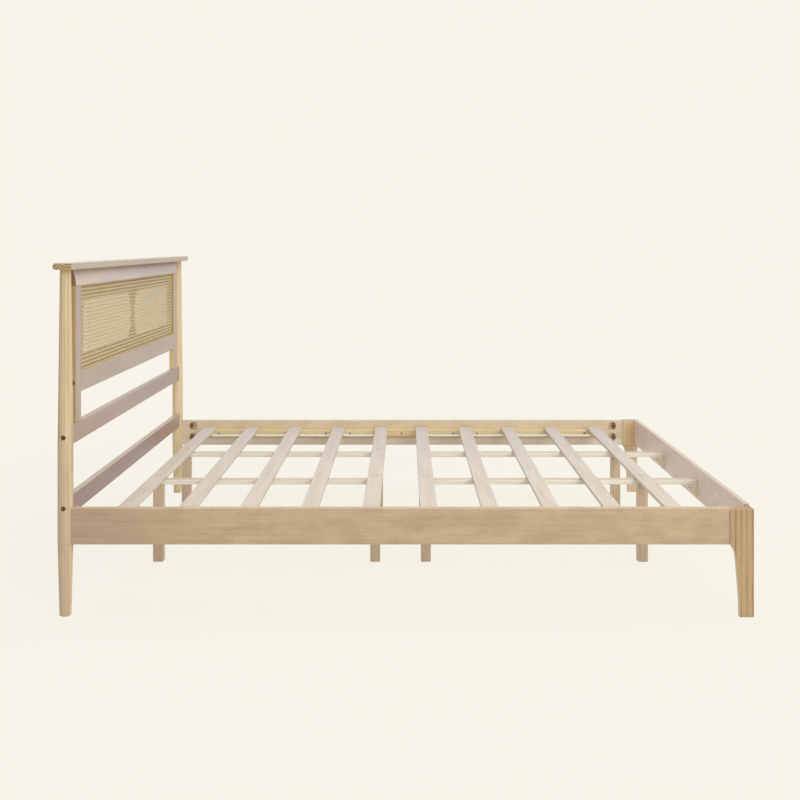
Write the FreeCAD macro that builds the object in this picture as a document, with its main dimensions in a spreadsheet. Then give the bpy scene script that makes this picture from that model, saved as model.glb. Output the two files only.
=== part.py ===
"""A slatted wooden bed with turned headboard posts and a cane panel, modelled piece by piece.

Frame: origin on the floor under the middle of the bed, +X from head to foot, +Y to the right
of someone who stands at the foot and faces the headboard, +Z up. Millimetres.
"""
import FreeCAD
import Part
import Sketcher

import math
import os
from types import SimpleNamespace

SIZES = {
    # Whole bed
    "bed_length": 2110,
    "headboard_height": 1071,
    "inner_width": 1545,
    "edge_ease": 2.5,
    "cut_overrun": 10,
    "fit_clearance": 0.2,
    # Headboard posts, turned
    "post_setback": 23,
    "post_foot_radius": 17.25,
    "post_belly_radius": 23,
    "post_top_radius": 16.25,
    "post_belly_start": 230,
    "post_belly_end": 520,
    "post_foot_ease": 2,
    "post_seat": 19,
    "post_seat_play": 1,
    # Cap board
    "cap_depth": 59,
    "cap_thick": 21,
    "cap_overhang": 55,
    "cap_end_round": 6,
    "cap_back_round": 9,
    # Headboard slats
    "headboard_thick": 22,
    "headboard_slat_height": 60,
    "headboard_slat_gap": 154,
    # Cane panel
    "panel_setback": 66.5,
    "stile_width": 53,
    "top_rail_height": 52,
    "top_rail_sweep": 12,
    "cane_height": 270,
    "bottom_rail_height": 65,
    "panel_foot_gap": 91,
    "backing_thick": 13,
    "backing_width": 48,
    "brace_thick": 5,
    "brace_width": 116,
    "brace_waist": 28,
    "cane_thick": 2.4,
    "spline_size": 4,
    "spline_ease": 1.2,
    # Side rails and ledgers
    "rail_thick": 24,
    "rail_height": 110,
    "rail_bottom": 217,
    "ledger_thick": 36,
    "ledger_height": 28,
    "ledger_rise": 46,
    "ledger_overhang": 6,
    # Foot rail and foot legs
    "leg_proud": 9,
    "leg_thick": 40,
    "leg_width": 70,
    "leg_foot_width": 44,
    "leg_foot_thick": 18,
    "leg_knee_reach": 14,
    "leg_knee_depth": 18,
    "leg_knee_drop": 27,
    "leg_bracket_radius": 60,
    "leg_sweep_radius": 2400,
    "foot_rail_setback": 2,
    "foot_rail_thick": 16,
    "foot_rail_height": 113,
    "foot_rail_bottom": 221,
    # Slats, straps, stretchers and centre legs
    "slat_width": 54,
    "slat_thick": 12,
    "slat_play": 28,
    "first_slat_inset": 137,
    "last_slat_inset": 193,
    "set_gap": 126,
    "strap_width": 44,
    "strap_thick": 1.5,
    "strap_inset": 136,
    "stretcher_width": 34,
    "stretcher_thick": 17,
    "row_spread": 476,
    "centre_leg_size": 35,
    "cleat_width": 40,
    "cleat_height": 40,
    "cleat_depth": 23,
    "cleat_notch": 14,
    # Socket bolts and barrel nuts of the headboard
    "bolt_radius": 4,
    "bolt_head_radius": 7.5,
    "bolt_head_height": 5,
    "bolt_head_ease": 0.8,
    "bolt_socket_radius": 3.2,
    "bolt_socket_depth": 3,
    "bolt_head_seat": 15,
    "bolt_reach": 52,
    "barrel_nut_radius": 6.5,
    "barrel_nut_inset": 40,
    "barrel_nut_length": 18,
    "panel_bolt_sink": 4,
    # Side rail bolts, washers and nuts
    "pocket_radius": 18,
    "pocket_depth": 16,
    "head_pocket_inset": 55,
    "foot_pocket_inset": 48,
    "pocket_spread": 50,
    "pocket_top_drop": 24,
    "rail_bolt_inset": 7.5,
    "rail_bolt_bite": 26,
    "washer_height": 13,
    "washer_thick": 7,
    "nut_radius": 7.2,
    "nut_length": 6.5,
    # Dowels, hanger bolts and screws
    "dowel_radius": 5,
    "panel_dowel_radius": 3,
    "dowel_reach": 18,
    "cap_dowel_rise": 12,
    "top_rail_dowel_inset": 120,
    "foot_dowel_spread": 60,
    "hanger_radius": 4,
    "hanger_rise": 14,
    "hanger_drop": 40,
    "screw_radius": 2,
    "screw_head_radius": 4,
    "screw_head_height": 2.6,
    "slat_screw_length": 28,
    "slat_screw_spread": 14,
    "ledger_screw_length": 50,
    "cleat_screw_length": 34,
    "cleat_screw_spread": 22,
}

SET_COUNT = 2
SET_SLATS = 5
SIDES = {"left": -1, "right": 1}
CANE_COLUMNS = 12
CANE_ROWS = 3
CANE_OPEN_SHARE = 0.57
LEDGER_SCREW_LEVEL_SHARE = 0.43
LEDGER_SCREW_SHARES = (0.04, 0.31, 0.37, 0.5, 0.63, 0.69, 0.96)

ALONG = {
    "+x": FreeCAD.Vector(1, 0, 0),
    "-x": FreeCAD.Vector(-1, 0, 0),
    "+y": FreeCAD.Vector(0, 1, 0),
    "-y": FreeCAD.Vector(0, -1, 0),
    "+z": FreeCAD.Vector(0, 0, 1),
    "-z": FreeCAD.Vector(0, 0, -1),
}
UP = ALONG["+z"]


class Size:
    """A length held twice: as an expression on the sheet, and as the value it has now."""

    def __init__(self, text, value):
        self.text = text
        self.value = value

    def joined(self, sign, other, value):
        """The size that a sum or product with another size or a plain ratio gives."""
        text = other.text if isinstance(other, Size) else repr(other)
        return Size(f"({self.text} {sign} {text})", value)

    def __add__(self, other):
        return self.joined("+", other, self.value + value_of(other))

    def __sub__(self, other):
        return self.joined("-", other, self.value - value_of(other))

    def __mul__(self, other):
        return self.joined("*", other, self.value * value_of(other))

    def __truediv__(self, other):
        return self.joined("/", other, self.value / value_of(other))

    def __neg__(self):
        return Size(f"(-1 * {self.text})", -self.value)


def value_of(size):
    """The plain number of a size, or of a number itself."""
    return size.value if isinstance(size, Size) else size


def text_of(size):
    """The expression of a size, or of a number itself."""
    return size.text if isinstance(size, Size) else repr(size)


doc = FreeCAD.newDocument("bed")
sheet = doc.addObject("Spreadsheet::Sheet", "sizes")
for row, (alias, number) in enumerate(SIZES.items(), start=1):
    sheet.set(f"A{row}", str(number))
    sheet.setAlias(f"A{row}", alias)
doc.recompute()

S = SimpleNamespace(**{alias: Size(f"sizes.{alias}", number) for alias, number in SIZES.items()})
NOWHERE = Size("0", 0)
HERE = (NOWHERE, NOWHERE, NOWHERE)
NODES = []


def bind_place(thing, point):
    """Tie the base of a placement to a point given in sizes."""
    for axis, size in zip("xyz", point):
        thing.setExpression(f"Placement.Base.{axis}", text_of(size))


class Piece:
    """One solid piece: a body whose features are bound to the sheet, placed by its corner or axis."""

    def __init__(self, label, place=HERE):
        self.place = place
        self.body = doc.addObject("PartDesign::Body", label)
        self.body.Label = label
        bind_place(self.body, place)

    def local(self, point):
        """A point of the bed's frame in the piece's own frame."""
        return tuple(part - base for part, base in zip(point, self.place))

    def feature(self, kind, at=HERE, along="+z", **sizes):
        """Add a primitive feature, with each property bound to a size."""
        thing = self.body.newObject(f"PartDesign::{kind}", f"{self.body.Name}_{kind}")
        turn = FreeCAD.Rotation(UP, ALONG[along])
        thing.Placement = FreeCAD.Placement(FreeCAD.Vector(), turn)
        for name, size in sizes.items():
            thing.setExpression(name, text_of(size))
        bind_place(thing, at)
        return thing

    def box(self, size, at=HERE, cut=False):
        """Add or cut a box from its low corner."""
        kind = "SubtractiveBox" if cut else "AdditiveBox"
        return self.feature(kind, at, Length=size[0], Width=size[1], Height=size[2])

    def cylinder(self, radius, height, at=HERE, along="+z", cut=False):
        """Add or cut a cylinder from its base centre."""
        kind = "SubtractiveCylinder" if cut else "AdditiveCylinder"
        return self.feature(kind, at, along, Radius=radius, Height=height)

    def cone(self, low_radius, high_radius, height, at=HERE, along="+z", cut=False):
        """Add or cut a cone from its base centre."""
        kind = "SubtractiveCone" if cut else "AdditiveCone"
        return self.feature(kind, at, along, Radius1=low_radius, Radius2=high_radius, Height=height)

    def prism(self, radius, height, at=HERE, along="+z", cut=False):
        """Add or cut a six-sided prism from its base centre."""
        kind = "SubtractivePrism" if cut else "AdditivePrism"
        return self.feature(kind, at, along, Circumradius=radius, Height=height)

    def ease(self, radius, edges=None):
        """Round the edges of the last feature: all of them, or those that a test on an edge keeps."""
        doc.recompute()
        base = self.body.Tip
        names = [""]
        if edges is not None:
            names = [f"Edge{i}" for i, edge in enumerate(base.Shape.Edges, start=1) if edges(edge)]
        fillet = self.body.newObject("PartDesign::Fillet", f"{self.body.Name}_ease")
        fillet.Base = (base, names)
        fillet.UseAllEdges = edges is None
        fillet.setExpression("Radius", text_of(radius))
        return fillet

    def outline(self, points, arcs, role="XZ_Plane"):
        """Draw a closed outline on one of the body's planes; a side with a radius in arcs is round."""
        sketch = self.body.newObject("Sketcher::SketchObject", f"{self.body.Name}_outline")
        planes = self.body.Origin.OriginFeatures
        plane = next(item for item in planes if item.Role == role)
        sketch.AttachmentSupport = [(plane, "")]
        sketch.MapMode = "FlatFace"
        corners = [FreeCAD.Vector(value_of(across), value_of(up), 0) for across, up in points]
        count = len(points)
        for side, start in enumerate(corners):
            finish = corners[(side + 1) % count]
            if side in arcs:
                middle = arc_middle(start, finish, arcs[side].value)
                sketch.addGeometry(Part.Arc(start, middle, finish))
            else:
                sketch.addGeometry(Part.LineSegment(start, finish))
        self.fix_corners(sketch, points, corners, arcs)
        return sketch

    def fix_corners(self, sketch, points, corners, arcs):
        """Join an outline's sides and bind its corners and radii to their sizes."""
        count = len(points)
        ends = [side_ends(sketch, side, corners[side]) for side in range(count)]
        for side in range(count):
            after = (side + 1) % count
            joint = Sketcher.Constraint("Coincident", side, ends[side][1], after, ends[after][0])
            sketch.addConstraint(joint)
        for side, point in enumerate(points):
            for kind, size in zip(("DistanceX", "DistanceY"), point):
                rule = Sketcher.Constraint(kind, -1, 1, side, ends[side][0], value_of(size))
                number = sketch.addConstraint(rule)
                sketch.setExpression(f"Constraints[{number}]", text_of(size))
        for side, radius in arcs.items():
            number = sketch.addConstraint(Sketcher.Constraint("Radius", side, radius.value))
            sketch.setExpression(f"Constraints[{number}]", radius.text)

    def pad(self, points, depth, arcs=None):
        """Draw an outline on the XZ plane and give it depth along +Y."""
        sketch = self.outline(points, arcs or {})
        pad = self.body.newObject("PartDesign::Pad", f"{self.body.Name}_pad")
        pad.Profile = sketch
        pad.Reversed = True
        pad.setExpression("Length", text_of(depth))
        return pad

    def shave(self, points, depth, arcs):
        """Draw an outline on the YZ plane and cut it away along +X."""
        sketch = self.outline(points, arcs, "YZ_Plane")
        pocket = self.body.newObject("PartDesign::Pocket", f"{self.body.Name}_shave")
        pocket.Profile = sketch
        pocket.Reversed = True
        pocket.setExpression("Length", text_of(depth))
        return pocket

    def turn(self, points):
        """Draw a half profile on the XZ plane and turn it about the Z axis."""
        sketch = self.outline(points, {})
        turned = self.body.newObject("PartDesign::Revolution", f"{self.body.Name}_turned")
        turned.Profile = sketch
        turned.ReferenceAxis = (sketch, ["V_Axis"])
        return turned


def arc_middle(start, finish, radius):
    """The middle of an arc of the given radius that bulges to the left of its chord."""
    chord = finish - start
    half = chord.Length / 2
    rise = radius - math.sqrt(radius * radius - half * half)
    left = FreeCAD.Vector(-chord.y, chord.x, 0).normalize()
    return (start + finish) / 2 + left * rise


def side_ends(sketch, side, corner):
    """Which end of a sketched side lies at its first corner, and which at its last."""
    near = (sketch.getPoint(side, 1) - corner).Length
    far = (sketch.getPoint(side, 2) - corner).Length
    return (1, 2) if near < far else (2, 1)


def keep(piece):
    """Hand a piece over as a node of its own."""
    NODES.append(piece.body)
    return piece


def keep_group(label, pieces):
    """Hand identical pieces over as one node of separate solids."""
    group = doc.addObject("Part::Compound", label)
    group.Label = label
    group.Links = [piece.body for piece in pieces]
    NODES.append(group)


def side_low(sign, inner, outer):
    """The low Y of a piece that lies between two distances from the middle, on one side."""
    return inner if sign > 0 else -outer


def board(label, size, place, ease):
    """A plain board with eased edges, from its low corner."""
    piece = Piece(label, place)
    piece.box(size)
    piece.ease(ease)
    return piece


# Levels and lines that several pieces share
HEAD_X = -S.bed_length / 2
FOOT_X = S.bed_length / 2
INNER_Y = S.inner_width / 2
RAIL_OUTER_Y = INNER_Y + S.rail_thick
POST_X = HEAD_X + S.post_setback
POST_Y = INNER_Y + S.rail_thick / 2
POST_TOP = S.headboard_height - S.cap_thick
PANEL_BACK_X = POST_X - S.headboard_thick / 2
PANEL_Y = POST_Y - S.panel_setback
STILE_INNER_Y = PANEL_Y - S.stile_width
SLAT_END_Y = POST_Y - S.post_seat
TOP_RAIL_BOTTOM = POST_TOP - S.top_rail_height
BOTTOM_RAIL_TOP = TOP_RAIL_BOTTOM - S.cane_height
BOTTOM_RAIL_MIDDLE = BOTTOM_RAIL_TOP - S.bottom_rail_height / 2
UPPER_SLAT_TOP = BOTTOM_RAIL_TOP - S.bottom_rail_height - S.panel_foot_gap
UPPER_SLAT_BOTTOM = UPPER_SLAT_TOP - S.headboard_slat_height
LOWER_SLAT_BOTTOM = UPPER_SLAT_BOTTOM - S.headboard_slat_gap - S.headboard_slat_height
RAIL_HEAD_X = POST_X + S.post_seat
RAIL_FOOT_X = FOOT_X - S.leg_width
RAIL_TOP = S.rail_bottom + S.rail_height
LEG_OUTER_Y = RAIL_OUTER_Y + S.leg_proud
LEG_INNER_Y = LEG_OUTER_Y - S.leg_thick
FOOT_RAIL_X = FOOT_X - S.foot_rail_setback - S.foot_rail_thick
SLAT_BOTTOM = S.rail_bottom + S.ledger_rise + S.ledger_height
STRETCHER_BOTTOM = SLAT_BOTTOM - S.stretcher_thick
ROW_Y = S.row_spread / 2
FIRST_SLAT_X = RAIL_HEAD_X + S.first_slat_inset
LAST_SLAT_X = FOOT_RAIL_X - S.last_slat_inset
SET_STEP = S.set_gap + S.slat_width
SLAT_PITCH = (LAST_SLAT_X - FIRST_SLAT_X - SET_STEP) / (SET_COUNT * (SET_SLATS - 1))
SET_LENGTH = SLAT_PITCH * (SET_SLATS - 1)
SET_STARTS = [FIRST_SLAT_X, LAST_SLAT_X - SET_LENGTH]
SLAT_PLACES = [start + SLAT_PITCH * step for start in SET_STARTS for step in range(SET_SLATS)]
END_SLAT_PLACES = [place for start in SET_STARTS for place in (start, start + SET_LENGTH)]
HEADBOARD_BOLT_LEVELS = [
    UPPER_SLAT_BOTTOM + S.headboard_slat_height / 2,
    LOWER_SLAT_BOTTOM + S.headboard_slat_height / 2,
]
POCKET_LEVELS = [RAIL_TOP - S.pocket_top_drop, RAIL_TOP - S.pocket_top_drop - S.pocket_spread]
POCKET_PLACES = {
    "head": RAIL_HEAD_X + S.head_pocket_inset,
    "foot": RAIL_FOOT_X - S.foot_pocket_inset,
}
POCKET_INSETS = {"head": S.head_pocket_inset, "foot": S.foot_pocket_inset}
RAIL_BOLT_Y = INNER_Y + S.rail_bolt_inset
BOLT_HOLE = S.bolt_radius + S.fit_clearance
SCREW_HOLE = S.screw_radius + S.fit_clearance
DOWEL_HOLE = S.dowel_radius + S.fit_clearance
LEDGER_START = SET_STARTS[0] - S.slat_width / 2 - S.ledger_overhang
LEDGER_LENGTH = LAST_SLAT_X - FIRST_SLAT_X + S.slat_width + S.ledger_overhang * 2
LEDGER_SCREW_LEVEL = S.rail_bottom + S.ledger_rise + S.ledger_height * LEDGER_SCREW_LEVEL_SHARE
LEDGER_SCREW_PLACES = [LEDGER_START + LEDGER_LENGTH * share for share in LEDGER_SCREW_SHARES]
TOP_RAIL_DOWEL_X = PANEL_BACK_X + (S.headboard_thick - S.top_rail_sweep) / 2
CAP_DOWELS = {
    "post": (POST_X, POST_Y, S.dowel_radius),
    "panel": (TOP_RAIL_DOWEL_X, PANEL_Y - S.top_rail_dowel_inset, S.panel_dowel_radius),
}
STILE_MIDDLE_Y = PANEL_Y - S.stile_width / 2
FOOT_RAIL_MIDDLE_X = FOOT_RAIL_X + S.foot_rail_thick / 2
FOOT_DOWEL_LEVELS = [
    S.foot_rail_bottom + S.foot_rail_height / 2 + S.foot_dowel_spread / 2 * sign for sign in (-1, 1)
]
PANEL_BOLT_SEAT_Y = PANEL_Y - S.panel_bolt_sink - S.bolt_head_height


def make_posts():
    """Turned posts, with flats where the rail and slats seat and holes for their bolts and dowels."""
    for name, sign in SIDES.items():
        post = Piece(f"headboard_post_{name}", (POST_X, POST_Y * sign, NOWHERE))
        post.turn([
            (NOWHERE, NOWHERE),
            (S.post_foot_radius - S.post_foot_ease, NOWHERE),
            (S.post_foot_radius, S.post_foot_ease),
            (S.post_belly_radius, S.post_belly_start),
            (S.post_belly_radius, S.post_belly_end),
            (S.post_top_radius, POST_TOP),
            (NOWHERE, POST_TOP),
        ])
        cut_post_seats(post, sign)
        cut_post_holes(post, sign)
        keep(post)


def cut_post_seats(post, sign):
    """Cut the flat under the side rail's end and the flats under the headboard slats' ends."""
    wide = S.post_belly_radius * 2
    deep = S.post_belly_radius - S.post_seat + S.cut_overrun
    rail_seat = S.rail_height + S.post_seat_play * 2
    low = S.rail_bottom - S.post_seat_play
    post.box((deep, wide, rail_seat), (S.post_seat, -S.post_belly_radius, low), cut=True)
    slat_seat = S.headboard_slat_height + S.post_seat_play * 2
    inner = S.post_seat if sign < 0 else -S.post_seat - deep
    for level in HEADBOARD_BOLT_LEVELS:
        post.box((wide, deep, slat_seat), (-S.post_belly_radius, inner, level - slat_seat / 2), cut=True)


def cut_post_holes(post, sign):
    """Bore the post for the slat bolts, the rail bolts and the cap's dowel."""
    outward, inward = ("-y", "+y") if sign < 0 else ("+y", "-y")
    head_hole = S.bolt_head_radius + S.fit_clearance
    for level in HEADBOARD_BOLT_LEVELS:
        seat = (NOWHERE, S.bolt_head_seat * sign, level)
        post.cylinder(head_hole, S.post_belly_radius, seat, outward, cut=True)
        post.cylinder(BOLT_HOLE, S.post_belly_radius * 2, seat, inward, cut=True)
    for level in POCKET_LEVELS:
        start = post.local((RAIL_HEAD_X + S.cut_overrun, RAIL_BOLT_Y * sign, level))
        post.cylinder(BOLT_HOLE, S.rail_bolt_bite + S.cut_overrun, start, "-x", cut=True)
    top = (NOWHERE, NOWHERE, POST_TOP - S.dowel_reach)
    post.cylinder(DOWEL_HOLE, S.dowel_reach + S.cut_overrun, top, cut=True)


def make_cap():
    """The cap board, its ends rounded on top and its back rounded underneath."""
    half = POST_Y + S.cap_overhang
    cap = Piece("headboard_cap", (HEAD_X, -half, POST_TOP))
    cap.box((S.cap_depth, half * 2, S.cap_thick))
    thick = S.cap_thick.value
    cap.ease(S.cap_back_round, lambda edge: along_y(edge) and is_low(edge.CenterOfMass.x))
    cap.ease(S.cap_end_round, lambda edge: along_x(edge) and not is_low(edge.CenterOfMass.z - thick / 2))
    cap.ease(S.edge_ease, lambda edge: along_y(edge) and edge.CenterOfMass.x > S.cap_depth.value / 2
             and edge.Length > half.value)
    for sign in SIDES.values():
        for x, y, radius in CAP_DOWELS.values():
            hole = cap.local((x, y * sign, POST_TOP))
            cap.cylinder(radius + S.fit_clearance, S.cap_dowel_rise, hole, cut=True)
    keep(cap)


def along_x(edge):
    """Whether a straight edge runs along X."""
    box = edge.BoundBox
    return box.XLength > max(box.YLength, box.ZLength)


def along_y(edge):
    """Whether a straight edge runs along Y."""
    box = edge.BoundBox
    return box.YLength > max(box.XLength, box.ZLength)


def is_low(place):
    """Whether a place lies at or below its zero."""
    return place <= S.fit_clearance.value


def make_headboard_slats():
    """The two slats between the posts, bored for the bolts, barrel nuts and the stiles' dowels."""
    rises = {"upper": UPPER_SLAT_BOTTOM, "lower": LOWER_SLAT_BOTTOM}
    for name, rise in rises.items():
        place = (PANEL_BACK_X, -SLAT_END_Y, rise)
        size = (S.headboard_thick, SLAT_END_Y * 2, S.headboard_slat_height)
        slat = board(f"headboard_slat_{name}", size, place, S.edge_ease)
        level = rise + S.headboard_slat_height / 2
        for sign in SIDES.values():
            bore_for_bolt(slat, (POST_X, SLAT_END_Y * sign, level), sign)
            if name == "upper":
                hole = slat.local((POST_X, STILE_MIDDLE_Y * sign, UPPER_SLAT_TOP - S.dowel_reach))
                slat.cylinder(DOWEL_HOLE, S.dowel_reach + S.cut_overrun, hole, cut=True)
        keep(slat)


def bore_for_bolt(piece, end, sign):
    """Bore a board's end for a bolt along Y, and its back for the barrel nut on that bolt."""
    x, y, z = end
    inward = "+y" if sign < 0 else "-y"
    start = piece.local((x, y + S.cut_overrun * sign, z))
    piece.cylinder(BOLT_HOLE, S.bolt_reach + S.cut_overrun + S.bolt_radius, start, inward, cut=True)
    nut = piece.local((PANEL_BACK_X - S.cut_overrun, y - S.barrel_nut_inset * sign, z))
    depth = S.barrel_nut_length + S.cut_overrun
    piece.cylinder(S.barrel_nut_radius + S.fit_clearance, depth, nut, "+x", cut=True)


def make_panel():
    """The cane panel: top rail, stiles, bottom rail, backing strips, cane and its reed spline."""
    make_top_rail()
    for name, sign in SIDES.items():
        low = side_low(sign, STILE_INNER_Y, PANEL_Y)
        place = (PANEL_BACK_X, low, UPPER_SLAT_TOP)
        size = (S.headboard_thick, S.stile_width, TOP_RAIL_BOTTOM - UPPER_SLAT_TOP)
        stile = board(f"panel_stile_{name}", size, place, S.edge_ease)
        bore_stile(stile, sign)
        keep(stile)
    place = (PANEL_BACK_X, -STILE_INNER_Y, BOTTOM_RAIL_TOP - S.bottom_rail_height)
    size = (S.headboard_thick, STILE_INNER_Y * 2, S.bottom_rail_height)
    rail = board("panel_bottom_rail", size, place, S.edge_ease)
    for sign in SIDES.values():
        bore_for_bolt(rail, (POST_X, STILE_INNER_Y * sign, BOTTOM_RAIL_MIDDLE), sign)
    keep(rail)
    make_backing()
    cane_x = PANEL_BACK_X + S.backing_thick
    cane = Piece("cane_webbing", (cane_x, -STILE_INNER_Y, BOTTOM_RAIL_TOP))
    cane.box((S.cane_thick, STILE_INNER_Y * 2, S.cane_height))
    column = STILE_INNER_Y * 2 / CANE_COLUMNS
    row = S.cane_height / CANE_ROWS
    opening = (S.cane_thick + S.cut_overrun * 2, column * CANE_OPEN_SHARE, row * CANE_OPEN_SHARE)
    margin = (1 - CANE_OPEN_SHARE) / 2
    for across in range(CANE_COLUMNS):
        for up in range(CANE_ROWS):
            corner = (-S.cut_overrun, column * (across + margin), row * (up + margin))
            cane.box(opening, corner, cut=True)
    keep(cane)
    spline = Piece("cane_spline", (cane_x + S.cane_thick, -STILE_INNER_Y, BOTTOM_RAIL_TOP))
    spline.box((S.spline_size, STILE_INNER_Y * 2, S.cane_height))
    inset = S.spline_size
    inner = (S.spline_size + S.cut_overrun * 2, (STILE_INNER_Y - inset) * 2, S.cane_height - inset * 2)
    spline.box(inner, (-S.cut_overrun, inset, inset), cut=True)
    front = S.spline_size.value
    spline.ease(S.spline_ease, lambda edge: edge.BoundBox.XMin > front - S.fit_clearance.value)
    keep(spline)


def make_top_rail():
    """The panel's top rail, whose front sweeps back towards the cap."""
    rail = Piece("panel_top_rail", (PANEL_BACK_X, -PANEL_Y, TOP_RAIL_BOTTOM))
    sweep = S.top_rail_sweep
    height = S.top_rail_height
    radius = (sweep * sweep + height * height) / (sweep * 2)
    points = [
        (NOWHERE, NOWHERE),
        (NOWHERE, height),
        (S.headboard_thick - sweep, height),
        (S.headboard_thick, NOWHERE),
    ]
    rail.pad(points, PANEL_Y * 2, {2: radius})
    x, y, bore = CAP_DOWELS["panel"]
    for sign in SIDES.values():
        top = rail.local((x, y * sign, POST_TOP - S.dowel_reach))
        rail.cylinder(bore + S.fit_clearance, S.dowel_reach + S.cut_overrun, top, cut=True)
        low = rail.local((POST_X, STILE_MIDDLE_Y * sign, TOP_RAIL_BOTTOM))
        rail.cylinder(DOWEL_HOLE, S.dowel_reach, low, cut=True)
    keep(rail)


def bore_stile(stile, sign):
    """Bore a stile for the bottom rail's bolt and for the dowels in its two ends."""
    outward, inward = ("-y", "+y") if sign < 0 else ("+y", "-y")
    seat = stile.local((POST_X, PANEL_BOLT_SEAT_Y * sign, BOTTOM_RAIL_MIDDLE))
    stile.cylinder(S.bolt_head_radius + S.fit_clearance, S.stile_width, seat, outward, cut=True)
    stile.cylinder(BOLT_HOLE, S.stile_width, seat, inward, cut=True)
    low = stile.local((POST_X, STILE_MIDDLE_Y * sign, UPPER_SLAT_TOP))
    stile.cylinder(DOWEL_HOLE, S.dowel_reach, low, cut=True)
    top = stile.local((POST_X, STILE_MIDDLE_Y * sign, TOP_RAIL_BOTTOM - S.dowel_reach))
    stile.cylinder(DOWEL_HOLE, S.dowel_reach + S.cut_overrun, top, cut=True)


def make_backing():
    """The strips behind the cane: a rail at top and bottom, two stiles and a waisted centre brace."""
    width = S.backing_width
    rails = []
    for name, low in (("low", BOTTOM_RAIL_TOP), ("high", TOP_RAIL_BOTTOM - width)):
        size = (S.backing_thick, STILE_INNER_Y * 2, width)
        place = (PANEL_BACK_X, -STILE_INNER_Y, low)
        rails.append(board(f"cane_backing_rail_{name}", size, place, S.spline_ease))
    keep_group("cane_backing_rails", rails)
    upright = S.cane_height - width * 2
    low = BOTTOM_RAIL_TOP + width
    stiles = []
    for name, sign in SIDES.items():
        place = (PANEL_BACK_X, side_low(sign, STILE_INNER_Y - width, STILE_INNER_Y), low)
        size = (S.backing_thick, width, upright)
        stiles.append(board(f"cane_backing_stile_{name}", size, place, S.spline_ease))
    keep_group("cane_backing_stiles", stiles)
    brace = Piece("cane_backing_brace", (PANEL_BACK_X + S.backing_thick - S.brace_thick, NOWHERE, low))
    brace.box((S.brace_thick, S.brace_width, upright), (NOWHERE, -S.brace_width / 2, NOWHERE))
    hollow = (S.brace_width - S.brace_waist) / 2
    chord = upright - S.spline_size * 2
    radius = (chord * chord / 4 + hollow * hollow) / (hollow * 2)
    for sign in SIDES.values():
        middle = (-S.cut_overrun, (S.brace_waist / 2 + radius) * sign, upright / 2)
        brace.cylinder(radius, S.brace_thick + S.cut_overrun * 2, middle, "+x", cut=True)
    keep(brace)


def make_side_rails():
    """The side rails with their bolt pockets, and the ledgers that carry the slats."""
    for name, sign in SIDES.items():
        low = side_low(sign, INNER_Y, RAIL_OUTER_Y)
        place = (RAIL_HEAD_X, low, S.rail_bottom)
        size = (RAIL_FOOT_X - RAIL_HEAD_X, S.rail_thick, S.rail_height)
        rail = Piece(f"side_rail_{name}", place)
        rail.box(size)
        rail.ease(S.edge_ease, along_x)
        bore_side_rail(rail, sign)
        keep(rail)
        low = side_low(sign, INNER_Y - S.ledger_thick, INNER_Y)
        place = (LEDGER_START, low, S.rail_bottom + S.ledger_rise)
        size = (LEDGER_LENGTH, S.ledger_thick, S.ledger_height)
        ledger = board(f"ledger_{name}", size, place, S.edge_ease)
        for x in LEDGER_SCREW_PLACES:
            start = ledger_screw_start(x, sign)
            bore_for_screw(ledger, start, "+y" if sign > 0 else "-y", S.ledger_screw_length)
        keep(ledger)


def ledger_screw_start(x, sign):
    """The middle of a ledger screw's head."""
    return (x, (INNER_Y - S.ledger_thick) * sign, LEDGER_SCREW_LEVEL)


def bore_side_rail(rail, sign):
    """Cut the round pockets, the bolt bores in both ends and the ledger screws' holes."""
    outward = "+y" if sign > 0 else "-y"
    for end, x in POCKET_PLACES.items():
        bore = POCKET_INSETS[end] + S.cut_overrun
        for level in POCKET_LEVELS:
            mouth = rail.local((x, (INNER_Y - S.cut_overrun) * sign, level))
            rail.cylinder(S.pocket_radius, S.pocket_depth + S.cut_overrun, mouth, outward, cut=True)
            start = rail.local((x, RAIL_BOLT_Y * sign, level))
            rail.cylinder(BOLT_HOLE, bore, start, "-x" if end == "head" else "+x", cut=True)
    for x in LEDGER_SCREW_PLACES:
        start = rail.local(ledger_screw_start(x, sign))
        length = S.ledger_screw_length + S.fit_clearance
        rail.cylinder(SCREW_HOLE, length, start, outward, cut=True)


def make_foot():
    """The foot legs with their bracket curve, and the rail between them."""
    for name, sign in SIDES.items():
        place = (RAIL_FOOT_X, side_low(sign, LEG_INNER_Y, LEG_OUTER_Y), NOWHERE)
        leg = Piece(f"foot_leg_{name}", place)
        points = [
            (S.leg_width, NOWHERE),
            (S.leg_width, RAIL_TOP),
            (NOWHERE, RAIL_TOP),
            (NOWHERE, S.rail_bottom),
            (S.leg_knee_reach, S.rail_bottom - S.leg_knee_drop),
            (S.leg_width - S.leg_foot_width, NOWHERE),
        ]
        leg.pad(points, S.leg_thick, {3: S.leg_bracket_radius, 4: S.leg_sweep_radius})
        taper_leg(leg, sign)
        leg.ease(S.edge_ease)
        bore_leg(leg, sign)
        keep(leg)
    place = (FOOT_RAIL_X, -LEG_INNER_Y, S.foot_rail_bottom)
    size = (S.foot_rail_thick, LEG_INNER_Y * 2, S.foot_rail_height)
    rail = board("foot_rail", size, place, S.edge_ease)
    for sign in SIDES.values():
        for level in FOOT_DOWEL_LEVELS:
            start = rail.local((FOOT_RAIL_MIDDLE_X, LEG_INNER_Y * sign, level))
            rail.cylinder(DOWEL_HOLE, S.dowel_reach, start, "-y" if sign > 0 else "+y", cut=True)
        for start in cleat_screw_starts(sign):
            rail.cylinder(SCREW_HOLE, S.cleat_screw_length, rail.local(start), "+x", cut=True)
    keep(rail)


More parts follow.
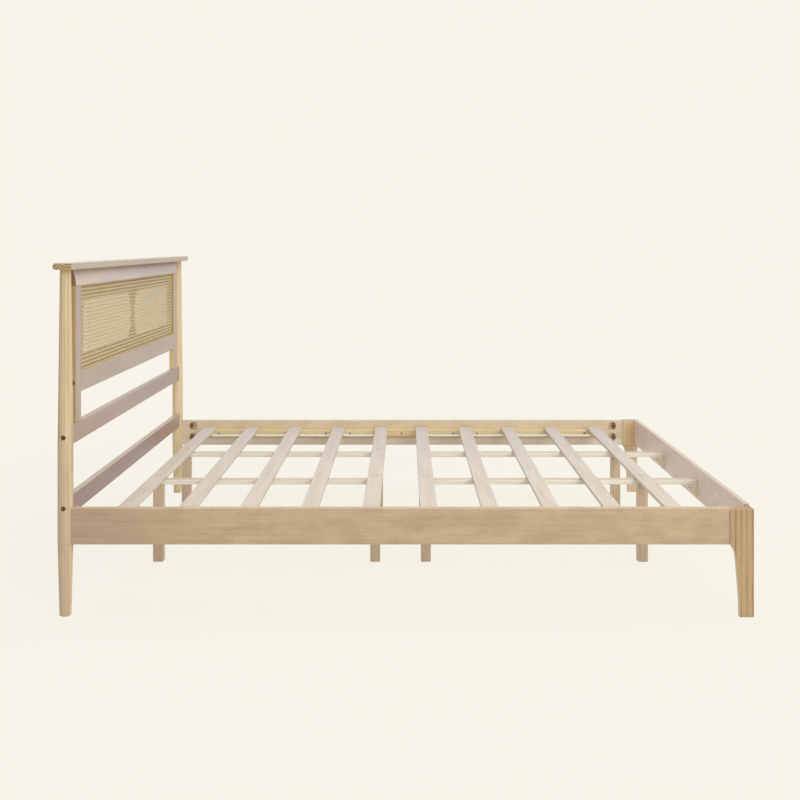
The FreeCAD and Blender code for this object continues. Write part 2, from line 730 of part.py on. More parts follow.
def taper_leg(leg, sign):
    """Give a foot leg's inner side the same bracket curve and sweep as the side that faces the head."""
    knee = S.rail_bottom - S.leg_knee_drop
    if sign < 0:
        points = [
            (S.leg_foot_thick, NOWHERE),
            (S.leg_thick - S.leg_knee_depth, knee),
            (S.leg_thick, S.rail_bottom),
            (S.leg_thick, NOWHERE),
        ]
        arcs = {0: S.leg_sweep_radius, 1: S.leg_bracket_radius}
    else:
        points = [
            (NOWHERE, S.rail_bottom),
            (S.leg_knee_depth, knee),
            (S.leg_thick - S.leg_foot_thick, NOWHERE),
            (NOWHERE, NOWHERE),
        ]
        arcs = {0: S.leg_bracket_radius, 1: S.leg_sweep_radius}
    leg.shave(points, S.leg_width, arcs)


def bore_leg(leg, sign):
    """Bore a foot leg for the side rail's bolts and the foot rail's dowels."""
    for level in POCKET_LEVELS:
        start = leg.local((RAIL_FOOT_X - S.cut_overrun, RAIL_BOLT_Y * sign, level))
        leg.cylinder(BOLT_HOLE, S.rail_bolt_bite + S.cut_overrun, start, "+x", cut=True)
    for level in FOOT_DOWEL_LEVELS:
        start = leg.local((FOOT_RAIL_MIDDLE_X, LEG_INNER_Y * sign, level))
        leg.cylinder(DOWEL_HOLE, S.dowel_reach, start, "+y" if sign > 0 else "-y", cut=True)


def make_slats():
    """The ten slats; those at the ends of each set are screwed to the stretchers."""
    half = INNER_Y - S.slat_play
    for number, x in enumerate(SLAT_PLACES):
        place = (x - S.slat_width / 2, -half, SLAT_BOTTOM)
        slat = board(f"slat_{number + 1:02d}", (S.slat_width, half * 2, S.slat_thick), place, S.edge_ease)
        if number % SET_SLATS in (0, SET_SLATS - 1):
            for start in slat_screw_starts(x):
                bore_for_screw(slat, start, "-z", S.slat_screw_length)
        keep(slat)


def slat_screw_starts(x):
    """The middles of the screw heads on an end slat: a pair over each row of stretchers."""
    top = SLAT_BOTTOM + S.slat_thick
    offset = S.slat_screw_spread / 2
    return [(x + offset * step, ROW_Y * sign, top) for sign in SIDES.values() for step in (-1, 1)]


def make_stretchers():
    """The stretchers under each set, the cleats that carry the foot pair and the centre legs."""
    overhang = S.centre_leg_size / 2
    finishes = {"head": SET_STARTS[0] + SET_LENGTH + overhang, "foot": FOOT_RAIL_X}
    for (end, finish), start in zip(finishes.items(), SET_STARTS):
        for name, sign in SIDES.items():
            place = (start - overhang, ROW_Y * sign - S.stretcher_width / 2, STRETCHER_BOTTOM)
            size = (finish - start + overhang, S.stretcher_width, S.stretcher_thick)
            stretcher = board(f"stretcher_{end}_{name}", size, place, S.edge_ease)
            bore_stretcher(stretcher, [start, start + SET_LENGTH], sign)
            keep(stretcher)
    for name, sign in SIDES.items():
        make_cleat(f"stretcher_cleat_{name}", sign)
        for number, x in enumerate(END_SLAT_PLACES, start=1):
            size = (S.centre_leg_size, S.centre_leg_size, STRETCHER_BOTTOM)
            place = (x - overhang, ROW_Y * sign - overhang, NOWHERE)
            leg = board(f"centre_leg_{name}_{number}", size, place, S.edge_ease)
            bore = (overhang, overhang, STRETCHER_BOTTOM - S.hanger_drop)
            hole = S.hanger_radius + S.fit_clearance
            leg.cylinder(hole, S.hanger_drop + S.cut_overrun, bore, cut=True)
            keep(leg)


def bore_stretcher(stretcher, places, sign):
    """Bore a stretcher for the slat screws above and the legs' hanger bolts below."""
    for x in places:
        low = stretcher.local((x, ROW_Y * sign, STRETCHER_BOTTOM))
        stretcher.cylinder(S.hanger_radius + S.fit_clearance, S.hanger_rise, low, cut=True)
        for start in slat_screw_starts(x):
            if start[1].value * sign > 0:
                depth = S.slat_screw_length + S.fit_clearance
                stretcher.cylinder(SCREW_HOLE, depth, stretcher.local(start), "-z", cut=True)


def make_cleat(label, sign):
    """A cleat on the foot rail under a stretcher's end, its lower inner corner cut away."""
    place = (FOOT_RAIL_X - S.cleat_depth, ROW_Y * sign - S.cleat_width / 2, STRETCHER_BOTTOM - S.cleat_height)
    cleat = Piece(label, place)
    points = [
        (S.cleat_notch, NOWHERE),
        (S.cleat_depth, NOWHERE),
        (S.cleat_depth, S.cleat_height),
        (NOWHERE, S.cleat_height),
        (NOWHERE, S.cleat_notch),
    ]
    cleat.pad(points, S.cleat_width)
    for start in cleat_screw_starts(sign):
        bore_for_screw(cleat, start, "+x", S.cleat_screw_length)
    keep(cleat)


def cleat_screw_starts(sign):
    """The middles of the two screw heads on a cleat."""
    x = FOOT_RAIL_X - S.cleat_depth
    z = STRETCHER_BOTTOM - (S.cleat_height - S.cleat_notch) / 2
    offset = S.cleat_screw_spread / 2
    return [(x, ROW_Y * sign + offset * step, z) for step in (-1, 1)]


def make_straps():
    """The webbing straps under each set of slats."""
    for number, start in enumerate(SET_STARTS, start=1):
        for name, sign in SIDES.items():
            low = (INNER_Y - S.strap_inset) * sign - S.strap_width / 2
            place = (start - S.slat_width / 2, low, SLAT_BOTTOM - S.strap_thick)
            strap = Piece(f"strap_{name}_{number}", place)
            strap.box((SET_LENGTH + S.slat_width, S.strap_width, S.strap_thick))
            keep(strap)


def socket_bolt(label, seat, along, length):
    """A bolt with a round socket head: seat is under the head, and the shank runs along."""
    back = {"+y": "-y", "-y": "+y"}[along]
    bolt = Piece(label, seat)
    bolt.cylinder(S.bolt_head_radius, S.bolt_head_height, along=back)
    step = -1 if along == "+y" else 1
    top = S.bolt_head_height.value * step
    bolt.ease(S.bolt_head_ease, lambda edge: abs(edge.CenterOfMass.y - top) < S.fit_clearance.value)
    floor = S.bolt_head_height - S.bolt_socket_depth
    bolt.prism(S.bolt_socket_radius, S.cut_overrun, (NOWHERE, floor * step, NOWHERE), back, cut=True)
    bolt.cylinder(S.bolt_radius, length, along=along)
    return bolt


def barrel_nut(label, middle):
    """A cross nut along X, with the bore that its bolt passes through; middle is on the bolt's line."""
    back = (PANEL_BACK_X, middle[1], middle[2])
    nut = Piece(label, back)
    nut.cylinder(S.barrel_nut_radius, S.barrel_nut_length, along="+x")
    through = (POST_X - PANEL_BACK_X, -S.barrel_nut_radius - S.cut_overrun, NOWHERE)
    nut.cylinder(BOLT_HOLE, (S.barrel_nut_radius + S.cut_overrun) * 2, through, "+y", cut=True)
    return nut


def make_headboard_fasteners():
    """The socket bolts through posts and stiles, and the barrel nuts on them."""
    bolts = []
    nuts = []
    for name, sign in SIDES.items():
        inward = "+y" if sign < 0 else "-y"
        length = S.bolt_head_seat + S.post_seat + S.bolt_reach
        for level, z in zip(("upper", "lower"), HEADBOARD_BOLT_LEVELS):
            seat = (POST_X, (POST_Y + S.bolt_head_seat) * sign, z)
            bolts.append(socket_bolt(f"slat_bolt_{level}_{name}", seat, inward, length))
            middle = (POST_X, (SLAT_END_Y - S.barrel_nut_inset) * sign, z)
            nuts.append(barrel_nut(f"slat_nut_{level}_{name}", middle))
        seat = (POST_X, PANEL_BOLT_SEAT_Y * sign, BOTTOM_RAIL_MIDDLE)
        length = PANEL_BOLT_SEAT_Y - STILE_INNER_Y + S.bolt_reach
        bolts.append(socket_bolt(f"panel_bolt_{name}", seat, inward, length))
        middle = (POST_X, (STILE_INNER_Y - S.barrel_nut_inset) * sign, BOTTOM_RAIL_MIDDLE)
        nuts.append(barrel_nut(f"panel_nut_{name}", middle))
    keep_group("headboard_bolts", bolts)
    keep_group("barrel_nuts", nuts)


def make_rail_fasteners():
    """The rail bolts in their pockets, with the half-moon washers and nuts."""
    bolts = []
    washers = []
    nuts = []
    for name, sign in SIDES.items():
        for end, x in POCKET_PLACES.items():
            for level, z in enumerate(POCKET_LEVELS, start=1):
                tag = f"{end}_{name}_{level}"
                middle = (x, RAIL_BOLT_Y * sign, z)
                bolts.append(rail_bolt(f"rail_bolt_{tag}", middle, end))
                washers.append(half_moon_washer(f"rail_washer_{tag}", middle, end))
                nuts.append(rail_nut(f"rail_nut_{tag}", middle, end))
    keep_group("side_rail_bolts", bolts)
    keep_group("half_moon_washers", washers)
    keep_group("side_rail_nuts", nuts)


def rail_bolt(label, middle, end):
    """A bolt from the middle of a pocket through the rail's end into the post or leg."""
    bolt = Piece(label, middle)
    length = POCKET_INSETS[end] + S.rail_bolt_bite
    bolt.cylinder(S.bolt_radius, length, along="-x" if end == "head" else "+x")
    return bolt


def half_moon_washer(label, middle, end):
    """A washer with a round back that lies in the pocket's wall and a flat face for the nut."""
    washer = Piece(label, middle)
    radius = S.pocket_radius - S.fit_clearance
    low = (NOWHERE, -S.washer_height / 2, NOWHERE)
    washer.cylinder(radius, S.washer_height, low, "+y")
    flat = radius - S.washer_thick
    wide = radius * 2
    start = -flat if end == "head" else -wide
    size = (flat + wide, S.washer_height + S.cut_overrun * 2, wide)
    washer.box(size, (start, -S.washer_height / 2 - S.cut_overrun, -radius), cut=True)
    bore = (-wide, NOWHERE, NOWHERE)
    washer.cylinder(BOLT_HOLE, wide * 2, bore, "+x", cut=True)
    return washer


def rail_nut(label, middle, end):
    """A hexagon nut on a rail bolt, tight against the washer's flat face."""
    nut = Piece(label, middle)
    flat = S.pocket_radius - S.fit_clearance - S.washer_thick
    start = -flat if end == "head" else flat - S.nut_length
    nut.prism(S.nut_radius, S.nut_length, (start, NOWHERE, NOWHERE), "+x")
    bore = (start - S.cut_overrun, NOWHERE, NOWHERE)
    nut.cylinder(BOLT_HOLE, S.nut_length + S.cut_overrun * 2, bore, "+x", cut=True)
    return nut


def make_dowels():
    """The hidden dowels of the foot rail, cap and panel, and the centre legs' hanger bolts."""
    dowels = []
    for name, sign in SIDES.items():
        for level, z in enumerate(FOOT_DOWEL_LEVELS, start=1):
            low = LEG_INNER_Y * sign - S.dowel_reach
            place = (FOOT_RAIL_MIDDLE_X, low, z)
            dowels.append(dowel(f"foot_dowel_{name}_{level}", place, S.dowel_reach * 2, "+y"))
        cap_length = S.dowel_reach + S.cap_dowel_rise
        for tag, (x, y, radius) in CAP_DOWELS.items():
            place = (x, y * sign, POST_TOP - S.dowel_reach)
            dowels.append(dowel(f"cap_dowel_{tag}_{name}", place, cap_length, "+z", radius))
        for tag, z in (("low", UPPER_SLAT_TOP), ("high", TOP_RAIL_BOTTOM)):
            place = (POST_X, STILE_MIDDLE_Y * sign, z - S.dowel_reach)
            dowels.append(dowel(f"stile_dowel_{tag}_{name}", place, S.dowel_reach * 2, "+z"))
    keep_group("dowels", dowels)
    bolts = []
    for name, sign in SIDES.items():
        for number, x in enumerate(END_SLAT_PLACES, start=1):
            bolt = Piece(f"hanger_bolt_{name}_{number}", (x, ROW_Y * sign, STRETCHER_BOTTOM - S.hanger_drop))
            bolt.cylinder(S.hanger_radius, S.hanger_drop + S.hanger_rise)
            bolts.append(bolt)
    keep_group("centre_leg_bolts", bolts)


def dowel(label, place, length, along, radius=S.dowel_radius):
    """A round dowel from its base centre."""
    piece = Piece(label, place)
    piece.cylinder(radius, length, along=along)
    return piece


def bore_for_screw(piece, start, along, length):
    """Bore and countersink a piece for a screw whose head lies flush at start."""
    local = piece.local(start)
    piece.cylinder(SCREW_HOLE, length + S.fit_clearance, local, along, cut=True)
    wide = S.screw_head_radius + S.fit_clearance
    piece.cone(wide, SCREW_HOLE, S.screw_head_height + S.fit_clearance, local, along, cut=True)


def wood_screw(label, start, along, length):
    """A countersunk screw from the middle of its head."""
    screw = Piece(label, start)
    screw.cone(S.screw_head_radius, S.screw_radius, S.screw_head_height, along=along)
    screw.cylinder(S.screw_radius, length, along=along)
    return screw


def make_screws():
    """The screws of the ledgers, the end slats and the cleats."""
    ledger_screws = []
    cleat_screws = []
    for name, sign in SIDES.items():
        for number, x in enumerate(LEDGER_SCREW_PLACES, start=1):
            along = "+y" if sign > 0 else "-y"
            start = ledger_screw_start(x, sign)
            label = f"ledger_screw_{name}_{number}"
            ledger_screws.append(wood_screw(label, start, along, S.ledger_screw_length))
        for number, start in enumerate(cleat_screw_starts(sign), start=1):
            cleat_screws.append(wood_screw(f"cleat_screw_{name}_{number}", start, "+x", S.cleat_screw_length))
    slat_screws = []
    for place, x in enumerate(END_SLAT_PLACES, start=1):
        for number, start in enumerate(slat_screw_starts(x), start=1):
            slat_screws.append(wood_screw(f"slat_screw_{place}_{number}", start, "-z", S.slat_screw_length))
    keep_group("ledger_screws", ledger_screws)
    keep_group("cleat_screws", cleat_screws)
    keep_group("slat_screws", slat_screws)


def check_document():
    """Stop if any object failed or any node's shape is missing or broken."""
    doc.recompute()
    for thing in doc.Objects:
        if any(word in thing.State for word in ("Invalid", "Error")):
            raise RuntimeError(f"{thing.Label} failed: {thing.State}")
    for node in NODES:
        shape = node.Shape
        if shape.isNull() or not shape.isValid() or not shape.Solids:
            raise RuntimeError(f"{node.Label} has no sound solid")


def write_parts():
    """Write each node's solids to a file named for the node."""
    os.makedirs("parts", exist_ok=True)
    for node in NODES:
        node.Shape.exportStep(f"parts/{node.Label}.step")
        print(node.Label, len(node.Shape.Solids), round(node.Shape.Volume))


make_posts()
make_cap()
make_headboard_slats()
make_panel()
make_side_rails()
make_foot()
make_slats()
make_stretchers()
make_straps()
make_headboard_fasteners()
make_rail_fasteners()
make_dowels()
make_screws()
check_document()
write_parts()
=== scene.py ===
"""Looks of a slatted wooden bed with a cane headboard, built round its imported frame.

Lengths are metres, as in the frame, and names that end in _mm are millimetres. +X runs from the headboard to
the foot, +Y from the near side rail to the far one and +Z up.
"""

from __future__ import annotations

import logging
import math
import random
from dataclasses import dataclass, field, replace
from enum import Enum
from functools import partial
from typing import Callable, Iterable

import bpy
from mathutils import Euler, Matrix, Vector

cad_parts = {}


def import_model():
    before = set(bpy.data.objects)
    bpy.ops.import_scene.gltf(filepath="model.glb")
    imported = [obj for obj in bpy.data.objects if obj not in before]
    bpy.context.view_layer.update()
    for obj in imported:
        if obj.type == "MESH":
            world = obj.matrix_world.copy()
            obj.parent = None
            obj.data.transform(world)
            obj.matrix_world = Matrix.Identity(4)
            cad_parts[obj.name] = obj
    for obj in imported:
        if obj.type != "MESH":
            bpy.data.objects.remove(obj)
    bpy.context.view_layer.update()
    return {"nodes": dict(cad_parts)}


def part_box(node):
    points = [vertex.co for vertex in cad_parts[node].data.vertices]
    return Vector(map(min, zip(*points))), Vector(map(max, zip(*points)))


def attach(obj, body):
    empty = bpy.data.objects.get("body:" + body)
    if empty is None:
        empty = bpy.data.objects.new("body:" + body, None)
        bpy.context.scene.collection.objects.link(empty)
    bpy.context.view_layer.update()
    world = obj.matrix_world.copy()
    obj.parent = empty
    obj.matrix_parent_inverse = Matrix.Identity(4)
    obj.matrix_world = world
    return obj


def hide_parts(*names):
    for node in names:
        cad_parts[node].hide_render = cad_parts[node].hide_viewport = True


LOG = logging.getLogger("wooden_bed")
MM = 0.001
BODY = "root"
TURN = 2 * math.pi
QUARTER = math.pi / 2
# A wave texture's phase grows by 20 for each unit of its scaled coordinate.
WAVE_PHASE = 20
# Copies of a strand or thread that meet within the first length grow together. A CAD node's triangles share corners
# within the second one.
MEETING_MM = 0.01
SAME_MM = 0.001
# A face counts as level where its normal leans this far to Z.
LEVEL_SHARE = 0.5
SLATS_PER_SET = 5
LEGS_PER_ROW = 4


class Run(Enum):
    """The way that fibres, strands or bolts run, with the angles that lay a pattern's own Z along it."""

    ALONG_X = (0.0, QUARTER, 0.0)
    ALONG_Y = (-QUARTER, 0.0, 0.0)
    ALONG_Z = (0.0, 0.0, 0.0)
    RISING = (-QUARTER / 2, 0.0, 0.0)
    FALLING = (QUARTER / 2, 0.0, 0.0)

    @property
    def way(self) -> Vector:
        """The unit vector of the run."""
        return Euler(self.value).to_matrix() @ Vector((0, 0, 1))


def linear(colour: str) -> tuple[float, float, float, float]:
    """Turn an sRGB hex colour into the linear RGBA that sockets take.

    Args:
        colour: six hex digits after a hash mark.

    Returns:
        Linear red, green and blue with an alpha of 1.
    """
    shares = [int(colour[i : i + 2], 16) / 255 for i in (1, 3, 5)]
    red, green, blue = ((c / 12.92 if c <= 0.04045 else ((c + 0.055) / 1.055) ** 2.4) for c in shares)
    return red, green, blue, 1.0


def add_node(
    tree: bpy.types.NodeTree,
    kind: str,
    inputs: dict[int | str, object] | None = None,
    output: int | str = 0,
    **settings: object,
) -> bpy.types.NodeSocket | None:
    """Add one node with its settings, socket values and links.

    Args:
        tree: the node tree.
        kind: the node's type name.
        inputs: for each input, by name or number, a value, a hex colour or the output socket that feeds it.
        output: the name or number of the output to go on with.
        settings: the node's own properties.

    Returns:
        That output, or None where the node has none.
    """
    node = tree.nodes.new(kind)
    for name, value in settings.items():
        setattr(node, name, value)
    for name, value in (inputs or {}).items():
        if isinstance(value, bpy.types.NodeSocket):
            tree.links.new(value, node.inputs[name])
        else:
            node.inputs[name].default_value = linear(value) if isinstance(value, str) else value
    return node.outputs[output] if node.outputs else None


def start_material(name: str) -> tuple[bpy.types.Material, bpy.types.NodeTree, bpy.types.NodeSocket]:
    """Start a material whose tree holds nothing but its coordinates.

    Args:
        name: the material's name.

    Returns:
        The material, its tree and the Object coordinates.
    """
    material = bpy.data.materials.new(name)
    material.use_nodes = True
    material.node_tree.nodes.clear()
    place = add_node(material.node_tree, "ShaderNodeTexCoord", output="Object")
    return material, material.node_tree, place


# A colour mix takes its share at socket 0 and its colours at 6 and 7, and gives the result at output 2. Each spread
# below holds sockets of a map range, where a value from 1 to 2 becomes 3 to 4, and the finish sets the others.
# Most values of a noise lie in this middle part.
NOISE_SPREAD = {1: 0.3, 2: 0.7}
# How squarely a face has to look a way before it takes a tone, or counts as a sawn end.
FACING_SPREAD = {1: 0.55, 2: 0.8, 3: 0.0}
END_SPREAD = {1: 0.6, 2: 0.85, 3: 0.0, 4: 1.0}
# A wash hides less where the wood drinks it, and shows its blotches there.
COVER_SPREAD = {1: 0.1, 2: 0.4, 3: 1.0, 4: 0.62}
BLOTCH_SPREAD = {1: 0.7, 2: 0.92, 3: 0.0, 4: 1.0}


class Axis(Enum):
    """A direction of the bed, with the name of that part of a vector."""

    LENGTH = "X"
    WIDTH = "Y"
    HEIGHT = "Z"


@dataclass(frozen=True)
class Fade:
    """Where along one direction of the bed a tone is whole, and where it is gone."""

    axis: Axis
    whole_mm: float
    gone_mm: float


@dataclass(frozen=True)
class Facing:
    """Another tone on the faces of a board that look one way: a wash brushed on its front, or painted light and
    shade.

    A wash may turn to a second tone in blotches where it lies thin, and a tone may fade away along the board.
    """

    tone: str
    way: tuple[float, float, float]
    share: float = 0.9
    blotch: str | None = None
    fade: Fade | None = None

    def mirrored(self) -> Facing:
        """Give the same tone for the like board on the other side of the bed."""
        return replace(self, way=(self.way[0], -self.way[1], self.way[2]))

    def over(
        self,
        tree: bpy.types.NodeTree,
        place: bpy.types.NodeSocket,
        normal: bpy.types.NodeSocket,
        cover: bpy.types.NodeSocket,
        colour: bpy.types.NodeSocket,
    ) -> bpy.types.NodeSocket:
        """Lay the tone over a board's colour.

        Args:
            tree: the board's material tree.
            place: the coordinates of the surface.
            normal: the way that the surface faces.
            cover: how well the tone covers, 1 where it hides the wood as far as its share goes.
            colour: the board's colour.

        Returns:
            The colour with the tone on its faces.
        """
        towards = add_node(
            tree, "ShaderNodeVectorMath", {0: normal, 1: self.way}, "Value", operation="DOT_PRODUCT"
        )
        mask = add_node(tree, "ShaderNodeMapRange", {0: towards, **FACING_SPREAD, 4: self.share})
        amount = add_node(tree, "ShaderNodeMath", {0: mask, 1: cover}, operation="MULTIPLY")
        if self.fade is not None:
            along = add_node(tree, "ShaderNodeSeparateXYZ", {0: place}, self.fade.axis.value)
            ends = {1: self.fade.whole_mm * MM, 2: self.fade.gone_mm * MM, 3: 1.0, 4: 0.0}
            reach = add_node(tree, "ShaderNodeMapRange", {0: along, **ends})
            amount = add_node(tree, "ShaderNodeMath", {0: amount, 1: reach}, operation="MULTIPLY")
        tone = self.tone
        if self.blotch is not None:
            thick = add_node(tree, "ShaderNodeMapRange", {0: cover, **BLOTCH_SPREAD})
            layers = {0: thick, 6: self.blotch, 7: self.tone}
            tone = add_node(tree, "ShaderNodeMix", layers, 2, data_type="RGBA")
        return add_node(tree, "ShaderNodeMix", {0: amount, 6: colour, 7: tone}, 2, data_type="RGBA")


# Along each ring the wood darkens slowly into its summer line, which then ends sharply.
LINE_RISE = {2: 0.84, 3: 0.15, 4: 0.95}
LINE_FALL = {1: 0.94, 2: 1.0, 3: 1.0, 4: 0.13}
RING_WANDER = {"Detail": 2.5, "Detail Scale": 0.22, "Detail Roughness": 0.55}
# Lines turn from faint to bold within about two rings.
BOLD_RINGS = 2.2
BOLD_SPREAD = {1: 0.36, 2: 0.64}
FAINT_SHARE, BOLD_SHARE = 0.2, 1.3
CLOUD_SPREAD = {1: 0.38, 2: 0.66, 3: 0.0}
SOAKED_SPREAD = {1: 0.1, 2: 0.9, 3: 0.2, 4: 0.85}
PINE_NOISE = {"Detail": 3, "Roughness": 0.55}
FIBRE_SHADES = (0.93, 1.05)
PORE_SHADES = (0.92, 1.08)
PORE_DEPTH = 0.4
PINE_GLOSS = (-0.06, 0.08)
PINE_RELIEF = {"Strength": 0.3, "Distance": 0.2 * MM}
SATIN_LACQUER = {"IOR": 1.5, "Coat Roughness": 0.28, "Coat IOR": 1.5}


@dataclass(frozen=True)
class Pine:
    """Sawn pine under a thin satin lacquer.

    The saw cuts the growth rings lengthwise, so pale spring wood fades into darker summer lines, some bold and
    some faint. Broad clouds show where stain and heartwood gather, the ends show the rings themselves, and fine
    fibres and pores break the gloss.
    """

    name: str
    early: str
    late: str
    cloud: str
    end: str = "#8F6A42"
    ring_mm: float = 11.0
    ring_stretch: float = 9.0
    lines: float = 0.45
    line_start: float = 0.5
    clouds: float = 0.5
    cloud_mm: float = 55.0
    cloud_stretch: float = 8.0
    fibre_mm: float = 4.0
    fibre_stretch: float = 45.0
    pore_mm: float = 1.0
    pore_stretch: float = 50.0
    wander: float = 5.0
    roughness: float = 0.42
    lacquer: float = 0.25

    def rings(self, tree: bpy.types.NodeTree, grain: bpy.types.NodeSocket) -> bpy.types.NodeSocket:
        """Draw the growth rings: a slow rise to each summer line and a sharp fall after it.

        Args:
            tree: the board's material tree.
            grain: the coordinates along the fibres.

        Returns:
            Near 0 in spring wood and near 1 in a summer line.
        """
        scale = TURN / (WAVE_PHASE * self.ring_mm * MM)
        saw = add_node(
            tree,
            "ShaderNodeTexWave",
            {"Vector": grain, "Scale": scale, "Distortion": self.wander, **RING_WANDER},
            "Fac",
            wave_type="RINGS",
            rings_direction="Z",
            wave_profile="SAW",
        )
        rise = add_node(tree, "ShaderNodeMapRange", {0: saw, 1: self.line_start, **LINE_RISE})
        fall = add_node(tree, "ShaderNodeMapRange", {0: saw, **LINE_FALL})
        return add_node(tree, "ShaderNodeMath", {0: rise, 1: fall}, operation="MULTIPLY")

    def material(self, run: Run, pith: Vector, facings: Iterable[Facing] = ()) -> bpy.types.Material:
        """Make the pine of one board.

        Args:
            run: the way of its fibres.
            pith: a point on the middle line of the tree that the board was sawn from.
            facings: tones of the faces that look one way.

        Returns:
            The material.
        """
        material, tree, place = start_material(self.name)
        normal = add_node(tree, "ShaderNodeTexCoord", output="Normal")
        # Real fibres and pores are finer than a pixel, so they are drawn 4 mm and 1 mm apart.
        noises = []
        for size_mm, stretch in (
            (BOLD_RINGS * self.ring_mm, self.ring_stretch),
            (self.cloud_mm, self.cloud_stretch),
            (self.fibre_mm, self.fibre_stretch),
            (self.pore_mm, self.pore_stretch),
        ):
            turned = {0: place, 1: pith, 2: run.value, 3: (1, 1, stretch)}
            along = add_node(tree, "ShaderNodeMapping", turned, vector_type="TEXTURE")
            grains = {"Vector": along, "Scale": 1 / (size_mm * MM), **PINE_NOISE}
            noises.append(add_node(tree, "ShaderNodeTexNoise", grains))
        bold, patch, fibre, pore = noises
        turned = {0: place, 1: pith, 2: run.value, 3: (1, 1, self.ring_stretch)}
        ring = self.rings(tree, add_node(tree, "ShaderNodeMapping", turned, vector_type="TEXTURE"))
        weight = {0: bold, **BOLD_SPREAD, 3: FAINT_SHARE * self.lines, 4: BOLD_SHARE * self.lines}
        strength = add_node(tree, "ShaderNodeMapRange", weight)
        line = add_node(tree, "ShaderNodeMath", {0: ring, 1: strength}, operation="MULTIPLY")
        colour = add_node(tree, "ShaderNodeMix", {0: line, 6: self.early, 7: self.late}, 2, data_type="RGBA")
        veil = add_node(tree, "ShaderNodeMapRange", {0: patch, **CLOUD_SPREAD, 4: self.clouds})
        colour = add_node(tree, "ShaderNodeMix", {0: veil, 6: colour, 7: self.cloud}, 2, data_type="RGBA")
        uneven = add_node(tree, "ShaderNodeMath", {0: patch, 1: fibre}, operation="MULTIPLY")
        cover = add_node(tree, "ShaderNodeMapRange", {0: uneven, **COVER_SPREAD})
        for facing in facings:
            colour = facing.over(tree, place, normal, cover, colour)
        colour = self.end_grain(tree, normal, run, ring, colour)
        for noise, (dark, light) in ((fibre, FIBRE_SHADES), (pore, PORE_SHADES)):
            shade = add_node(tree, "ShaderNodeMapRange", {0: noise, **NOISE_SPREAD, 3: dark, 4: light})
            layers = {0: 1.0, 6: colour, 7: shade}
            colour = add_node(tree, "ShaderNodeMix", layers, 2, data_type="RGBA", blend_type="MULTIPLY")
        smooth, dull = (self.roughness + step for step in PINE_GLOSS)
        gloss = add_node(tree, "ShaderNodeMapRange", {0: fibre, **NOISE_SPREAD, 3: smooth, 4: dull})
        relief = add_node(tree, "ShaderNodeMath", {0: fibre, 1: line}, operation="SUBTRACT")
        relief = add_node(tree, "ShaderNodeMath", {0: pore, 1: PORE_DEPTH, 2: relief}, operation="MULTIPLY_ADD")
        bump = add_node(tree, "ShaderNodeBump", {"Height": relief, **PINE_RELIEF})
        surface = {"Base Color": colour, "Roughness": gloss, "Normal": bump, "Coat Weight": self.lacquer}
        shader = add_node(tree, "ShaderNodeBsdfPrincipled", {**surface, **SATIN_LACQUER})
        add_node(tree, "ShaderNodeOutputMaterial", {"Surface": shader})
        return material

    def end_grain(
        self,
        tree: bpy.types.NodeTree,
        normal: bpy.types.NodeSocket,
        run: Run,
        ring: bpy.types.NodeSocket,
        colour: bpy.types.NodeSocket,
    ) -> bpy.types.NodeSocket:
        """Darken the sawn ends, where the lacquer soaks in and the rings stand out.

        Args:
            tree: the board's material tree.
            normal: the way that the surface faces.
            run: the way of the fibres.
            ring: the growth rings.
            colour: the board's colour.

        Returns:
            The colour with its end grain.
        """
        along = add_node(
            tree, "ShaderNodeVectorMath", {0: normal, 1: run.way}, "Value", operation="DOT_PRODUCT"
        )
        ends = add_node(tree, "ShaderNodeMath", {0: along}, operation="ABSOLUTE")
        mask = add_node(tree, "ShaderNodeMapRange", {0: ends, **END_SPREAD})
        soaked = add_node(tree, "ShaderNodeMapRange", {0: ring, **SOAKED_SPREAD})
        amount = add_node(tree, "ShaderNodeMath", {0: mask, 1: soaked}, operation="MULTIPLY")
        return add_node(tree, "ShaderNodeMix", {0: amount, 6: colour, 7: self.end}, 2, data_type="RGBA")


STREAK_SPREAD = {1: 0.35, 2: 0.7, 3: 0.0, 4: 0.8}
KNOT_SPREAD = {1: 0.56, 2: 0.72, 3: 0.0, 4: 0.5}
CANE_NOISE = {"Detail": 2, "Roughness": 0.6}
CANE_GLOSS = (-0.1, 0.15)
CANE_RELIEF = {"Strength": 0.4, "Distance": 0.1 * MM}
CANE_RIND = {"IOR": 1.5, "Coat Weight": 0.15}


